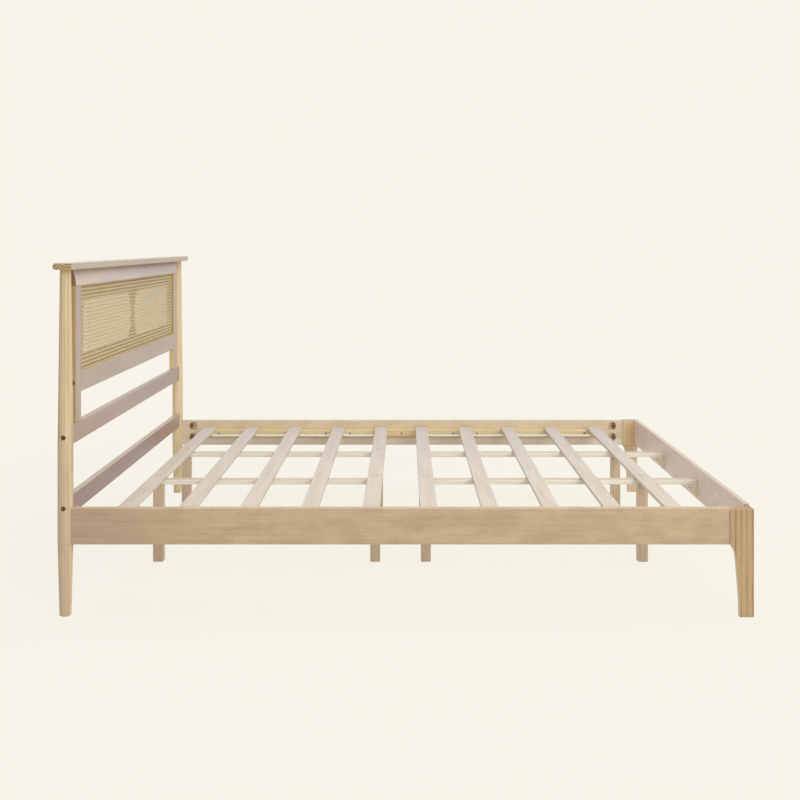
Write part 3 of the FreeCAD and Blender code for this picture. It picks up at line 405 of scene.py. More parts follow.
@dataclass(frozen=True)
class Cane:
    """Split rattan cane: a hard glossy rind with streaks along each strand and browner growth nodes."""

    name: str
    rind: str
    streak: str
    knot: str
    streak_mm: float = 1.2
    streak_stretch: float = 30.0
    knot_mm: float = 5.0
    knot_stretch: float = 5.0
    roughness: float = 0.4

    def material(self, run: Run, middle: Vector) -> bpy.types.Material:
        """Make the cane of strands that run one way.

        Args:
            run: the way of the strands.
            middle: the middle of the sheet.

        Returns:
            The material.
        """
        material, tree, place = start_material(f"{self.name}_{run.name.lower()}")
        noises = []
        for size_mm, stretch in ((self.streak_mm, self.streak_stretch), (self.knot_mm, self.knot_stretch)):
            turned = {0: place, 1: middle, 2: run.value, 3: (1, 1, stretch)}
            along = add_node(tree, "ShaderNodeMapping", turned, vector_type="TEXTURE")
            grains = {"Vector": along, "Scale": 1 / (size_mm * MM), **CANE_NOISE}
            noises.append(add_node(tree, "ShaderNodeTexNoise", grains))
        streaks, knots = noises
        tone = add_node(tree, "ShaderNodeMapRange", {0: streaks, **STREAK_SPREAD})
        colour = add_node(tree, "ShaderNodeMix", {0: tone, 6: self.rind, 7: self.streak}, 2, data_type="RGBA")
        brown = add_node(tree, "ShaderNodeMapRange", {0: knots, **KNOT_SPREAD})
        colour = add_node(tree, "ShaderNodeMix", {0: brown, 6: colour, 7: self.knot}, 2, data_type="RGBA")
        smooth, dull = (self.roughness + step for step in CANE_GLOSS)
        gloss = add_node(tree, "ShaderNodeMapRange", {0: streaks, **NOISE_SPREAD, 3: smooth, 4: dull})
        bump = add_node(tree, "ShaderNodeBump", {"Height": streaks, **CANE_RELIEF})
        surface = {"Base Color": colour, "Roughness": gloss, "Normal": bump}
        shader = add_node(tree, "ShaderNodeBsdfPrincipled", {**surface, **CANE_RIND})
        add_node(tree, "ShaderNodeOutputMaterial", {"Surface": shader})
        return material


YARN_GLOSS = {3: 0.65, 4: 0.45}
YARN_RELIEF = {"Strength": 0.6, "Distance": 0.4 * MM}
POLYPROPYLENE = {"IOR": 1.49, "Sheen Weight": 0.1}


@dataclass(frozen=True)
class Webbing:
    """Woven polypropylene tape: glossy flat yarns that cross in small raised squares, with painted shade in the
    gaps between.
    """

    name: str
    yarn: str
    shadow: str
    rib_mm: float = 3.0

    def material(self, middle: Vector) -> bpy.types.Material:
        """Make the webbing of straps that run along X.

        Args:
            middle: the middle of the strap.

        Returns:
            The material.
        """
        material, tree, place = start_material(self.name)
        centred = add_node(tree, "ShaderNodeMapping", {0: place, 1: middle}, vector_type="TEXTURE")
        ribs = {"Vector": centred, "Scale": TURN / (WAVE_PHASE * self.rib_mm * MM)}
        warp, weft = (
            add_node(tree, "ShaderNodeTexWave", ribs, "Fac", wave_type="BANDS", bands_direction=way) for way in "XY"
        )
        weave = add_node(tree, "ShaderNodeMath", {0: warp, 1: weft}, operation="MULTIPLY")
        colour = add_node(tree, "ShaderNodeMix", {0: weave, 6: self.shadow, 7: self.yarn}, 2, data_type="RGBA")
        gloss = add_node(tree, "ShaderNodeMapRange", {0: weave, **YARN_GLOSS})
        bump = add_node(tree, "ShaderNodeBump", {"Height": weave, **YARN_RELIEF})
        surface = {"Base Color": colour, "Roughness": gloss, "Normal": bump}
        shader = add_node(tree, "ShaderNodeBsdfPrincipled", {**surface, **POLYPROPYLENE})
        add_node(tree, "ShaderNodeOutputMaterial", {"Surface": shader})
        return material


RUBBED_SPREAD = {1: 0.45, 2: 0.7, 3: 0.0, 4: 0.7}
STEEL_NOISE = {"Detail": 4, "Roughness": 0.65}
STEEL_GLOSS = (-0.1, 0.12)
STEEL_RELIEF = {"Strength": 0.15, "Distance": 0.1 * MM}


@dataclass(frozen=True)
class Steel:
    """Plated or bronzed steel hardware: a metal whose plating is mottled and rubbed a little."""

    name: str
    plating: str
    rubbed: str
    metallic: float = 1.0
    roughness: float = 0.4
    mottle_mm: float = 3.0

    def material(self) -> bpy.types.Material:
        """Make the plated steel.

        Returns:
            The material.
        """
        material, tree, place = start_material(self.name)
        grains = {"Vector": place, "Scale": 1 / (self.mottle_mm * MM), **STEEL_NOISE}
        mottle = add_node(tree, "ShaderNodeTexNoise", grains)
        wear = add_node(tree, "ShaderNodeMapRange", {0: mottle, **RUBBED_SPREAD})
        colour = add_node(tree, "ShaderNodeMix", {0: wear, 6: self.plating, 7: self.rubbed}, 2, data_type="RGBA")
        smooth, dull = (self.roughness + step for step in STEEL_GLOSS)
        gloss = add_node(tree, "ShaderNodeMapRange", {0: mottle, **NOISE_SPREAD, 3: smooth, 4: dull})
        bump = add_node(tree, "ShaderNodeBump", {"Height": mottle, **STEEL_RELIEF})
        surface = {"Base Color": colour, "Metallic": self.metallic, "Roughness": gloss, "Normal": bump}
        shader = add_node(tree, "ShaderNodeBsdfPrincipled", surface)
        add_node(tree, "ShaderNodeOutputMaterial", {"Surface": shader})
        return material


# Clear lacquer keeps the turned posts yellow and their summer lines sharp.
POST_PINE = Pine("clear_lacquered_pine", "#E2CBA2", "#AD8450", "#D0B892", ring_mm=9.0, lines=0.6, wander=3.0)
# The far post takes a lighter copy of this pine: painted light, for the stronger light that falls on it.
LIT_POST_PINE = replace(POST_PINE, name="lit_lacquered_pine", early="#F0DDB2", cloud="#DDC59C")
# A tan stain under the lacquer evens out the rails, so only soft curly figure is left.
RAIL_PINE = Pine(
    "tan_stained_pine",
    "#CAB18E",
    "#AE8F6E",
    "#A98A73",
    end="#A8723A",
    ring_mm=16.0,
    lines=0.2,
    clouds=0.4,
    cloud_mm=30.0,
    cloud_stretch=2.2,
)
# The legs are cut across the rings, so bold orange lines run down them.
LEG_PINE = Pine(
    "striped_leg_pine", "#C6AB7D", "#8E5A26", "#B4976D", ring_mm=17.0, lines=0.95, line_start=0.66, wander=1.2
)
# The headboard's boards are plain yellow pine with a greyish wash brushed on their fronts.
HEADBOARD_PINE = Pine("headboard_pine", "#BFA274", "#A07C4C", "#B0925F", end="#80543F", ring_mm=14.0, clouds=0.6)
CAP_PINE = Pine("cap_pine", "#DDC08C", "#A8763C", "#C4A272", end="#5E3A18", ring_mm=8.0, lines=0.5, wander=2.0)
# Slats, stretchers and cleats are planed and left pale. The ledgers are yellow sapwood.
SLAT_PINE = Pine("planed_slat_pine", "#D6CABA", "#B9A68E", "#C2B3A9", ring_mm=13.0, lines=0.35, cloud_mm=30.0)
BATTEN_PINE = Pine("planed_batten_pine", "#F6EEE2", "#CDB48C", "#EADFCF", end="#EFDAB0", ring_mm=9.0, lines=0.3)
LEDGER_PINE = Pine("ledger_pine", "#E7D1A3", "#BF9861", "#D6BB88", ring_mm=9.0, lines=0.35)
# The strips behind the cane are painted dark brown, as the shade that lies behind the cane.
SHADED_BACKING_PINE = Pine("shaded_backing_pine", "#A88A5E", "#87683F", "#967A52", ring_mm=9.0, lines=0.4)
# The centre legs are greyer and plain, and the dowels are close-grained beech with faint lines.
CENTRE_LEG_PINE = Pine("centre_leg_pine", "#DAC4A8", "#AC8E6E", "#C8AE94", ring_mm=9.0)
DOWEL_BEECH = Pine("dowel_beech", "#D6BE9A", "#C2A479", "#CDB28C", ring_mm=5.0, lines=0.2)
# The strands keep their glossy rind. The reed that wedges them is duller and browner.
NATURAL_CANE = Cane("natural_cane", "#E6D1A2", "#CCB07E", "#A8854F")
SPLINE_REED = Cane("spline_reed", "#CDB27E", "#AD8C57", "#97754A", streak_mm=1.8)
# White yarns catch the light, and the gaps between them are painted warm grey, as the shade in them.
WHITE_WEBBING = Webbing("white_webbing", "#F1ECE8", "#CFC6C0")
# Screws and long bolts are bronzed dark brown, the rail hardware has a thin copper plating, and barrel nuts and
# staples are bright zinc. The dark platings are partly oxide, so they are less than fully metallic.
BRONZED_STEEL = Steel("bronzed_steel", "#6A4836", "#9C7056", metallic=0.5, roughness=0.38)
COPPERED_STEEL = Steel("coppered_steel", "#83523B", "#B07E62", metallic=0.35, roughness=0.45)
ZINC_STEEL = Steel("zinc_plated_steel", "#8E877C", "#B5AEA2", roughness=0.38)
TO_FOOT, TO_HEAD = (1.0, 0.0, 0.0), (-1.0, 0.0, 0.0)
TO_NEAR, TO_FAR = (0.0, -1.0, 0.0), (0.0, 1.0, 0.0)
UPWARD = (0.0, 0.0, 1.0)
# The headboard's fronts are washed. The far end of a wide board has a tone of its own, under that of its near end.
PANEL_WASH = Facing("#B9A694", TO_FOOT, share=0.97, blotch="#AB9BA1")
CAP_SIDES = (Facing("#B6A897", TO_FOOT, share=0.97, blotch="#A89CA5"), Facing("#C9BBB0", UPWARD))
TOP_RAIL_SIDES = (
    Facing("#C4B5B0", TO_FOOT, share=0.97, blotch="#B4ACB8"),
    Facing("#DFCBBA", TO_FOOT, share=0.97, blotch="#CFC2C6", fade=Fade(Axis.WIDTH, 0.0, 350.0)),
    # Painted shade: the near end of the top rail is dark reddish brown, as the shade between it and the post.
    Facing("#86594A", TO_NEAR),
)
HEADBOARD_SLAT_TOP = Facing("#B9A9A0", UPWARD)
UPPER_SLAT_SIDES = (
    Facing("#9D8583", TO_FOOT, share=0.93, blotch="#917B8E"),
    Facing("#B8A08C", TO_FOOT, share=0.93, blotch="#AC9697", fade=Fade(Axis.WIDTH, -100.0, 400.0)),
    HEADBOARD_SLAT_TOP,
)
LOWER_SLAT_SIDES = (
    Facing("#A78B7D", TO_FOOT, share=0.93, blotch="#9B8088"),
    Facing("#9A8175", TO_FOOT, share=0.93, blotch="#8F7681", fade=Fade(Axis.WIDTH, 50.0, 450.0)),
    HEADBOARD_SLAT_TOP,
)
# Painted light: the right stile's open side is bare yellow pine, made lighter for the light that falls on it.
LIT_STILE_SIDE = Facing("#E6CE92", TO_NEAR)
# The near post is painted darker on its side towards the headboard and browner towards its foot, as shade.
NEAR_POST_SHADE = (
    Facing("#8C7658", TO_HEAD, share=0.75),
    Facing("#C0AA91", TO_NEAR, share=0.7, fade=Fade(Axis.HEIGHT, 380.0, 630.0)),
)
FOOT_RAIL_SIDES = (Facing("#F6E7DF", TO_HEAD, share=0.95), Facing("#D3C3B6", UPWARD))
# The rails' inner faces are left bare. Below the ledger they are painted paler, as light against the ledger's
# shade, and their outer faces are painted darker towards the headboard, as shade. These are the sides of the left
# rail and leg, which the right ones mirror.
RAIL_SIDES = (
    Facing("#E3D3B3", TO_FAR, share=0.95),
    Facing("#EBDFD1", TO_FAR, share=0.95, fade=Fade(Axis.HEIGHT, 240.0, 248.0)),
    Facing("#AC8E78", TO_NEAR, share=0.6, fade=Fade(Axis.LENGTH, -950.0, -600.0)),
)
# The foot legs' sides towards the headboard and the bed's middle are painted paler, as light against the shade they
# stand in, and greyer below the side rail.
LEG_SIDES = (
    Facing("#F4E4BE", TO_HEAD),
    Facing("#F8DAA8", TO_FAR, share=0.72),
    Facing("#CCB7A5", TO_FAR, share=0.7, fade=Fade(Axis.HEIGHT, 205.0, 213.0)),
)
# Painted shade: the tops of the ledgers and stretchers, between the slats, are darker, as the slats' shade.
LEDGER_TOP_SHADE = Facing("#CBB68C", UPWARD)
BATTEN_TOP_SHADE = Facing("#B7A082", UPWARD)
# The bed slats' tops are painted greyer towards the far side, as shade where less light reaches.
SLAT_TOP = Facing("#B3A7A8", UPWARD, share=0.6, fade=Fade(Axis.WIDTH, 550.0, -350.0))


@dataclass(frozen=True)
class Board:
    """One wooden node: its finish, its run and where its tree's middle lay, in millimetres from its own."""

    node: str
    finish: Pine
    run: Run
    pith_mm: tuple[float, float, float]
    facings: tuple[Facing, ...] = ()
    steady: bool = False


@dataclass
class Timber:
    """All the wooden nodes, which keep their shape and are dressed as boards from different trees.

    Each board's tree is shifted at random, up to the jitter each way, so that no two boards look alike.
    """

    seed: int = 11
    jitter_mm: float = 24.0

    def boards(self) -> list[Board]:
        """List the boards in the order in which their trees are drawn.

        Returns:
            One entry for each wooden node.
        """
        found = [
            Board("headboard_cap", CAP_PINE, Run.ALONG_Y, (20, 0, -45), CAP_SIDES),
            Board("headboard_slat_upper", HEADBOARD_PINE, Run.ALONG_Y, (-70, 0, 15), UPPER_SLAT_SIDES),
            Board("headboard_slat_lower", HEADBOARD_PINE, Run.ALONG_Y, (-60, 0, -10), LOWER_SLAT_SIDES),
            Board("panel_top_rail", HEADBOARD_PINE, Run.ALONG_Y, (-80, 0, 5), TOP_RAIL_SIDES),
            Board("panel_bottom_rail", HEADBOARD_PINE, Run.ALONG_Y, (-75, 0, 20), (PANEL_WASH,)),
            Board("panel_stile_left", HEADBOARD_PINE, Run.ALONG_Z, (-60, 20, 0), (PANEL_WASH,)),
            Board("panel_stile_right", HEADBOARD_PINE, Run.ALONG_Z, (-60, -15, 0), (PANEL_WASH, LIT_STILE_SIDE)),
            Board("cane_backing_rails", SHADED_BACKING_PINE, Run.ALONG_Y, (-50, 0, 0)),
            Board("cane_backing_stiles", SHADED_BACKING_PINE, Run.ALONG_Z, (-50, 0, 0)),
            Board("cane_backing_brace", SHADED_BACKING_PINE, Run.ALONG_Z, (-60, 20, 0)),
            Board("foot_rail", RAIL_PINE, Run.ALONG_Y, (70, 0, 10), FOOT_RAIL_SIDES),
            Board("dowels", DOWEL_BEECH, Run.ALONG_Y, (30, 0, 0)),
            Board("headboard_post_left", POST_PINE, Run.ALONG_Z, (95, -40, 0), NEAR_POST_SHADE),
            Board("headboard_post_right", LIT_POST_PINE, Run.ALONG_Z, (95, 40, 0)),
        ]
        for name, side in (("left", -1), ("right", 1)):
            rail_sides, leg_sides = RAIL_SIDES, LEG_SIDES
            if side > 0:
                rail_sides = tuple(facing.mirrored() for facing in RAIL_SIDES)
                leg_sides = tuple(facing.mirrored() for facing in LEG_SIDES)
            found += [
                Board(f"foot_leg_{name}", LEG_PINE, Run.ALONG_Z, (-87, 20 * side, 0), leg_sides, steady=True),
                Board(f"side_rail_{name}", RAIL_PINE, Run.ALONG_X, (0, 75 * side, 20), rail_sides),
                Board(f"ledger_{name}", LEDGER_PINE, Run.ALONG_X, (0, 40 * side, 20), (LEDGER_TOP_SHADE,)),
                Board(f"stretcher_head_{name}", BATTEN_PINE, Run.ALONG_X, (0, 20, 45), (BATTEN_TOP_SHADE,)),
                Board(f"stretcher_foot_{name}", BATTEN_PINE, Run.ALONG_X, (0, -20, 45), (BATTEN_TOP_SHADE,)),
                Board(f"stretcher_cleat_{name}", BATTEN_PINE, Run.ALONG_Y, (35, 0, 20)),
            ]
            found += [
                Board(f"centre_leg_{name}_{number}", CENTRE_LEG_PINE, Run.ALONG_Z, (60, 35, 0))
                for number in range(1, LEGS_PER_ROW + 1)
            ]
        found += [
            Board(f"slat_{number:02d}", SLAT_PINE, Run.ALONG_Y, (8, 0, -50), (SLAT_TOP,))
            for number in range(1, 2 * SLATS_PER_SET + 1)
        ]
        return found

    def dress(self, nodes: dict[str, bpy.types.Object]) -> None:
        """Give each wooden node its own pine.

        Args:
            nodes: the frame's nodes by name.
        """
        draw = random.Random(self.seed)
        for board in self.boards():
            stray = 0.0 if board.steady else self.jitter_mm
            shift = Vector([draw.uniform(-stray, stray) for _ in range(3)])
            pith = middle_of(board.node) + (Vector(board.pith_mm) + shift) * MM
            dress(nodes[board.node], board.finish.material(board.run, pith, board.facings))


def node_box(node: str) -> tuple[Vector, Vector]:
    """Give the low and the high corner of a CAD node's box."""
    low, high = (Vector(corner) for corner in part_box(node))
    return low, high


def middle_of(node: str) -> Vector:
    """Give the middle of a CAD node's box."""
    low, high = node_box(node)
    return (low + high) / 2


def dress(piece: bpy.types.Object, material: bpy.types.Material) -> None:
    """Make a material the only one on a piece.

    Args:
        piece: a node of the frame or a new piece.
        material: its finish.
    """
    piece.data.materials.clear()
    piece.data.materials.append(material)
    LOG.info("dressed %s in %s", piece.name, material.name)


def clear_selection() -> None:
    """Deselect everything, so that an operator acts on what is added next."""
    bpy.ops.object.select_all(action="DESELECT")


def apply_modifier(piece: bpy.types.Object, kind: str, **settings: object) -> None:
    """Add one modifier to the active piece and apply it.

    Args:
        piece: the active piece.
        kind: the modifier's type.
        settings: its properties.
    """
    bpy.ops.object.modifier_add(type=kind)
    modifier = piece.modifiers[-1]
    for name, value in settings.items():
        setattr(modifier, name, value)
    bpy.ops.object.modifier_apply(modifier=modifier.name)


def repeat(
    piece: bpy.types.Object, step: Vector | tuple[float, float, float], count: int, merge: bool = False
) -> None:
    """Repeat the active piece along a step.

    Args:
        piece: the active piece.
        step: the way from one copy to the next.
        count: how many there are in the end.
        merge: whether copies that meet grow together.
    """
    apply_modifier(
        piece,
        "ARRAY",
        use_relative_offset=False,
        use_constant_offset=True,
        constant_offset_displace=step,
        count=count,
        use_merge_vertices=merge,
        merge_threshold=MEETING_MM * MM,
    )


def edit_all() -> None:
    """Open the active piece's mesh with all of it selected."""
    bpy.ops.object.mode_set(mode="EDIT")
    bpy.ops.mesh.select_all(action="SELECT")


def start_picking(kind: str) -> None:
    """Deselect all of the active piece's mesh, ready to select one kind of its elements.

    Args:
        kind: VERT for corners or FACE for faces.
    """
    bpy.ops.object.mode_set(mode="EDIT")
    bpy.ops.mesh.select_mode(type=kind)
    bpy.ops.mesh.select_all(action="DESELECT")
    bpy.ops.object.mode_set(mode="OBJECT")


def pick(piece: bpy.types.Object, test: Callable[[Vector], bool]) -> None:
    """Select the corners of a piece whose place passes a test, and stay in edit mode.

    Args:
        piece: the active piece.
        test: takes a corner's place.
    """
    start_picking("VERT")
    for corner in piece.data.vertices:
        corner.select = test(corner.co)
    bpy.ops.object.mode_set(mode="EDIT")
    bpy.ops.mesh.select_mode(type="VERT")


def pick_faces(piece: bpy.types.Object, test: Callable[[bpy.types.MeshPolygon], bool]) -> None:
    """Select the faces of a piece that pass a test, and stay in edit mode.

    Args:
        piece: the active piece.
        test: takes a face.
    """
    start_picking("FACE")
    for face in piece.data.polygons:
        face.select = test(face)
    bpy.ops.object.mode_set(mode="EDIT")


def start_piece(name: str) -> bpy.types.Object:
    """Name the primitive just added and put its place into its mesh.

    Args:
        name: the piece's name.

    Returns:
        The active object.
    """
    piece = bpy.context.active_object
    piece.name = name
    piece.data.name = name
    bpy.ops.object.transform_apply(location=True, rotation=True, scale=True)
    return piece


def hand_over(piece: bpy.types.Object, slot: str, *nodes: str) -> None:
    """Let a finished piece ride on the bed and stand for CAD nodes.

    Args:
        piece: the finished piece.
        slot: not used.
        nodes: the nodes that it replaces.
    """
    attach(piece, BODY)
    if nodes:
        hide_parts(*nodes)
    LOG.info("built %s, %d faces", piece.name, len(piece.data.polygons))


@dataclass
class CaneSheet:
    """The woven cane: pairs of level and upright strands with two sets of slanting ones between them.

    The holes are octagons on a square grid. Level and upright pairs cross between four holes, and a slanting
    strand crosses them between two holes, over one pair and under the next. Strands are laid a hole or more past
    the sheet's edges, so that they end in a clean cut there.
    """

    node: str = "cane_webbing"
    pitch_mm: float = 12.7
    pair_gap_mm: float = 3.4
    strand_mm: float = 3.1
    slant_mm: float = 3.6
    thick_mm: float = 0.55
    lift_mm: float = 0.32
    slant_lift_mm: float = 0.88
    section_corners: int = 4
    low: Vector = field(init=False)
    high: Vector = field(init=False)
    middle: Vector = field(init=False)
    pitch: float = field(init=False)
    rows: int = field(init=False)
    columns: int = field(init=False)

    def __post_init__(self) -> None:
        """Take the sheet's box from the frame and count the rows and columns of holes that fit it."""
        self.low, self.high = node_box(self.node)
        self.middle = (self.low + self.high) / 2
        self.pitch = self.pitch_mm * MM
        self.rows = math.floor((self.high.z - self.low.z) / self.pitch)
        self.columns = math.floor((self.high.y - self.low.y) / self.pitch)

    def build(self) -> None:
        """Weave the four sets of strands past the sheet's edges and trim them there."""
        for lay, run in (
            (self.level_strands, Run.ALONG_Y),
            (self.upright_strands, Run.ALONG_Z),
            (partial(self.slanting_strands, "cane_strands_rising", 1), Run.RISING),
            (partial(self.slanting_strands, "cane_strands_falling", -1), Run.FALLING),
        ):
            strands = lay()
            self.trim(strands)
            dress(strands, NATURAL_CANE.material(run, self.middle))
            hand_over(strands, "cane", self.node)

    def strand(
        self, name: str, start: Vector, way: Vector, width_mm: float, lifts: tuple[float, float]
    ) -> bpy.types.Object:
        """Model one stretch of a strand that is flat, lens-shaped and bent over what it crosses.

        Args:
            name: the piece's name.
            start: the stretch's first point.
            way: from its first point to its last, square to X.
            width_mm: the strand's width.
            lifts: how far it stands out along X at its ends and at its middle, in millimetres.

        Returns:
            The stretch, with open ends.
        """
        middle = start + way / 2
        heading = way.normalized()
        clear_selection()
        bpy.ops.mesh.primitive_cylinder_add(
            vertices=self.section_corners,
            radius=1,
            depth=1,
            end_fill_type="NOTHING",
            location=middle,
            rotation=(math.atan2(-way.y, way.z), 0, 0),
            scale=(self.thick_mm / 2 * MM, width_mm / 2 * MM, way.length),
        )
        piece = start_piece(name)
        edit_all()
        bpy.ops.mesh.bisect(plane_co=middle, plane_no=heading)
        near = way.length / 4
        pick(piece, lambda corner: abs((corner - middle).dot(heading)) > near)
        bpy.ops.transform.translate(value=(lifts[0] * MM, 0, 0))
        pick(piece, lambda corner: abs((corner - middle).dot(heading)) < near)
        bpy.ops.transform.translate(value=(lifts[1] * MM, 0, 0))
        bpy.ops.object.mode_set(mode="OBJECT")
        return piece

    def level_strands(self) -> bpy.types.Object:
        """Lay the level pairs, which pass in front of the upright ones.

        Returns:
            All level strands, reaching past the sheet's edges.
        """
        y = self.middle.y - (self.columns // 2 + 1) * self.pitch
        z = self.middle.z - self.rows / 2 * self.pitch - self.pair_gap_mm / 2 * MM
        start = Vector((self.middle.x, y, z))
        way = Vector((0, self.pitch, 0))
        piece = self.strand("cane_strands_level", start, way, self.strand_mm, (0, self.lift_mm))
        repeat(piece, way, self.columns + 3, merge=True)
        repeat(piece, (0, 0, self.pair_gap_mm * MM), 2)
        repeat(piece, (0, 0, self.pitch), self.rows + 1)
        return piece

    def upright_strands(self) -> bpy.types.Object:
        """Lay the upright pairs, which pass behind the level ones.

        Returns:
            All upright strands, reaching past the sheet's edges.
        """
        half_rows = (self.rows + 1) // 2 + 1
        columns = self.columns - 1
        y = self.middle.y - columns / 2 * self.pitch - self.pair_gap_mm / 2 * MM
        z = self.middle.z - (self.rows % 2) / 2 * self.pitch - half_rows * self.pitch
        start = Vector((self.middle.x, y, z))
        way = Vector((0, 0, self.pitch))
        piece = self.strand("cane_strands_upright", start, way, self.strand_mm, (0, -self.lift_mm))
        repeat(piece, way, 2 * half_rows + 2, merge=True)
        repeat(piece, (0, self.pair_gap_mm * MM, 0), 2)
        repeat(piece, (0, self.pitch, 0), columns + 1)
        return piece

    def slanting_strands(self, name: str, slope: int) -> bpy.types.Object:
        """Lay the strands that slant one way, alternately in front of the pairs and behind them.

        Args:
            name: the piece's name.
            slope: 1 where they rise along +Y and -1 where they fall.

        Returns:
            All strands of that slope, reaching past the sheet's edges.
        """
        rise = self.rows + 3
        z = self.middle.z - (self.rows / 2 + 1) * self.pitch
        reach = self.columns // 2 + 1
        first = -reach - (rise if slope > 0 else 0)
        start = Vector((self.middle.x, self.middle.y + first * self.pitch, z))
        way = Vector((0, slope * self.pitch, self.pitch))
        lift = slope * self.slant_lift_mm
        piece = self.strand(name, start, way, self.slant_mm, (lift, -lift))
        repeat(piece, way, rise, merge=True)
        repeat(piece, (0, self.pitch, 0), 2 * reach + rise + 1)
        return piece

    def trim(self, strands: bpy.types.Object) -> None:
        """Cut strands off at the sheet's edges and close their ends.

        Args:
            strands: the active piece.
        """
        bpy.ops.object.mode_set(mode="EDIT")
        for corner, outward in (
            (self.low, (0, -1, 0)),
            (self.high, (0, 1, 0)),
            (self.low, (0, 0, -1)),
            (self.high, (0, 0, 1)),
        ):
            bpy.ops.mesh.select_all(action="SELECT")
            bpy.ops.mesh.bisect(plane_co=corner, plane_no=outward, clear_outer=True)
        bpy.ops.mesh.select_all(action="SELECT")
        bpy.ops.mesh.fill_holes(sides=2 * self.section_corners)
        bpy.ops.mesh.select_all(action="SELECT")
        bpy.ops.mesh.normals_make_consistent(inside=False)
        bpy.ops.object.mode_set(mode="OBJECT")
        bpy.ops.object.shade_smooth()


def loose_boxes(node: bpy.types.Object) -> list[tuple[Vector, Vector]]:
    """Find the boxes of the separate solids in one CAD node.

    Args:
        node: the node, which stays as it is.

    Returns:
        The low and high corner of each solid.
    """
    clear_selection()
    copy = node.copy()
    copy.data = node.data.copy()
    bpy.context.scene.collection.objects.link(copy)
    copy.hide_set(False)
    copy.select_set(True)
    bpy.context.view_layer.objects.active = copy
    edit_all()
    bpy.ops.mesh.remove_doubles(threshold=SAME_MM * MM)
    bpy.ops.mesh.separate(type="LOOSE")
    bpy.ops.object.mode_set(mode="OBJECT")
    boxes = []
    for part in list(bpy.context.selected_objects):
        places = [part.matrix_world @ corner.co for corner in part.data.vertices]
        low = Vector([min(place[axis] for place in places) for axis in range(3)])
        high = Vector([max(place[axis] for place in places) for axis in range(3)])
        boxes.append((low, high))
        bpy.data.objects.remove(part)
    return boxes


def cut_with(piece: bpy.types.Object, cutter: bpy.types.Object, operation: str = "DIFFERENCE") -> None:
    """Cut a piece with another and remove the cutter.

    Args:
        piece: the piece that stays and becomes active.
        cutter: the piece that is used up.
        operation: the Boolean operation.
    """
    clear_selection()
    piece.select_set(True)
    bpy.context.view_layer.objects.active = piece
    apply_modifier(piece, "BOOLEAN", object=cutter, operation=operation, solver="EXACT")
    bpy.data.objects.remove(cutter)


def join(pieces: list[bpy.types.Object], name: str) -> bpy.types.Object:
    """Join pieces into one at the origin.

    Args:
        pieces: the pieces, of which the first one stays.
        name: its new name.

    Returns:
        The joined piece.
    """
    clear_selection()
    for piece in pieces:
        piece.select_set(True)
    bpy.context.view_layer.objects.active = pieces[0]
    bpy.ops.object.join()
    return start_piece(name)


def set_out(
    pattern: bpy.types.Object, places: Iterable[tuple[Vector, Vector]], name: str, turn: float = TURN
) -> bpy.types.Object:
    """Copy a pattern to several places, join the copies and remove the pattern.

    Args:
        pattern: a finished piece at the origin whose own Z points out of the wood.
        places: for each copy its point and the way that its Z points.
        name: the joined piece's name.
        turn: the most that a copy is turned about its own Z.

    Returns:
        The joined piece.
    """
    draw = random.Random(name)
    copies = []
    for point, heading in places:
        copy = pattern.copy()
        copy.data = pattern.data.copy()
        bpy.context.scene.collection.objects.link(copy)
        aim = heading.to_track_quat("Z", "Y").to_matrix().to_4x4()
        copy.matrix_world = Matrix.Translation(point) @ aim @ Matrix.Rotation(draw.uniform(0, turn), 4, "Z")
        copies.append(copy)
    bpy.data.objects.remove(pattern)
    return join(copies, name)


def inward(place: Vector) -> Vector:
    """Point from a place on one side of the bed to its middle line."""
    return Vector((0, -math.copysign(1, place.y), 0))


@dataclass
class CrossScrews:
    """The countersunk wood screws of one node, with cross recesses in their heads."""

    node: str
    facing: Callable[[Vector], Vector]
    head_radius_mm: float = 4.0
    head_mm: float = 2.6
    shank_radius_mm: float = 2.0
    tip_mm: float = 6.0
    tip_share: float = 0.15
    recess_mm: tuple[float, float, float] = (4.6, 1.1, 1.6)
    recess_foot_share: float = 0.45
    sides: int = 20

    def pattern(self, length: float) -> bpy.types.Object:
        """Model one screw along -Z with the top of its head at the origin.

        Args:
            length: the screw's length.

        Returns:
            The screw.
        """
        clear_selection()
        bpy.ops.mesh.primitive_cone_add(
            vertices=self.sides,
            radius1=self.shank_radius_mm * MM,
            radius2=self.head_radius_mm * MM,
            depth=self.head_mm * MM,
            location=(0, 0, -self.head_mm / 2 * MM),
        )
        screw = start_piece("screw_pattern")
        pick(screw, lambda corner: corner.z < -self.head_mm / 2 * MM)
        shank = length - (self.head_mm + self.tip_mm) * MM
        for drop, narrow in ((shank, 1.0), (self.tip_mm * MM, self.tip_share)):
            bpy.ops.mesh.extrude_region_move(TRANSFORM_OT_translate={"value": (0, 0, -drop)})
            bpy.ops.transform.resize(value=(narrow, narrow, 1))
        bpy.ops.object.mode_set(mode="OBJECT")
        for angle in (0, QUARTER):
            clear_selection()
            bpy.ops.mesh.primitive_cube_add(size=1, rotation=(0, 0, angle), scale=[s * MM for s in self.recess_mm])
            slot = start_piece("screw_recess")
            pick(slot, lambda corner: corner.z < 0)
            bpy.ops.transform.resize(value=(self.recess_foot_share, self.recess_foot_share, 1))
            bpy.ops.transform.translate(value=(0, 0, -self.recess_mm[2] / 2 * MM))
            bpy.ops.object.mode_set(mode="OBJECT")
            cut_with(screw, slot)
        return screw

    def build(self, nodes: dict[str, bpy.types.Object]) -> None:
        """Drive a screw into each hole of the node.

        Args:
            nodes: the frame's nodes by name.
        """
        boxes = loose_boxes(nodes[self.node])
        length = max(boxes[0][1] - boxes[0][0])
        places = []
        for low, high in boxes:
            middle = (low + high) / 2
            heading = self.facing(middle)
            places.append((middle + heading * length / 2, heading))
        screws = set_out(self.pattern(length), places, f"{self.node}_driven")
        dress(screws, BRONZED_STEEL.material())
        hand_over(screws, "steel", self.node)


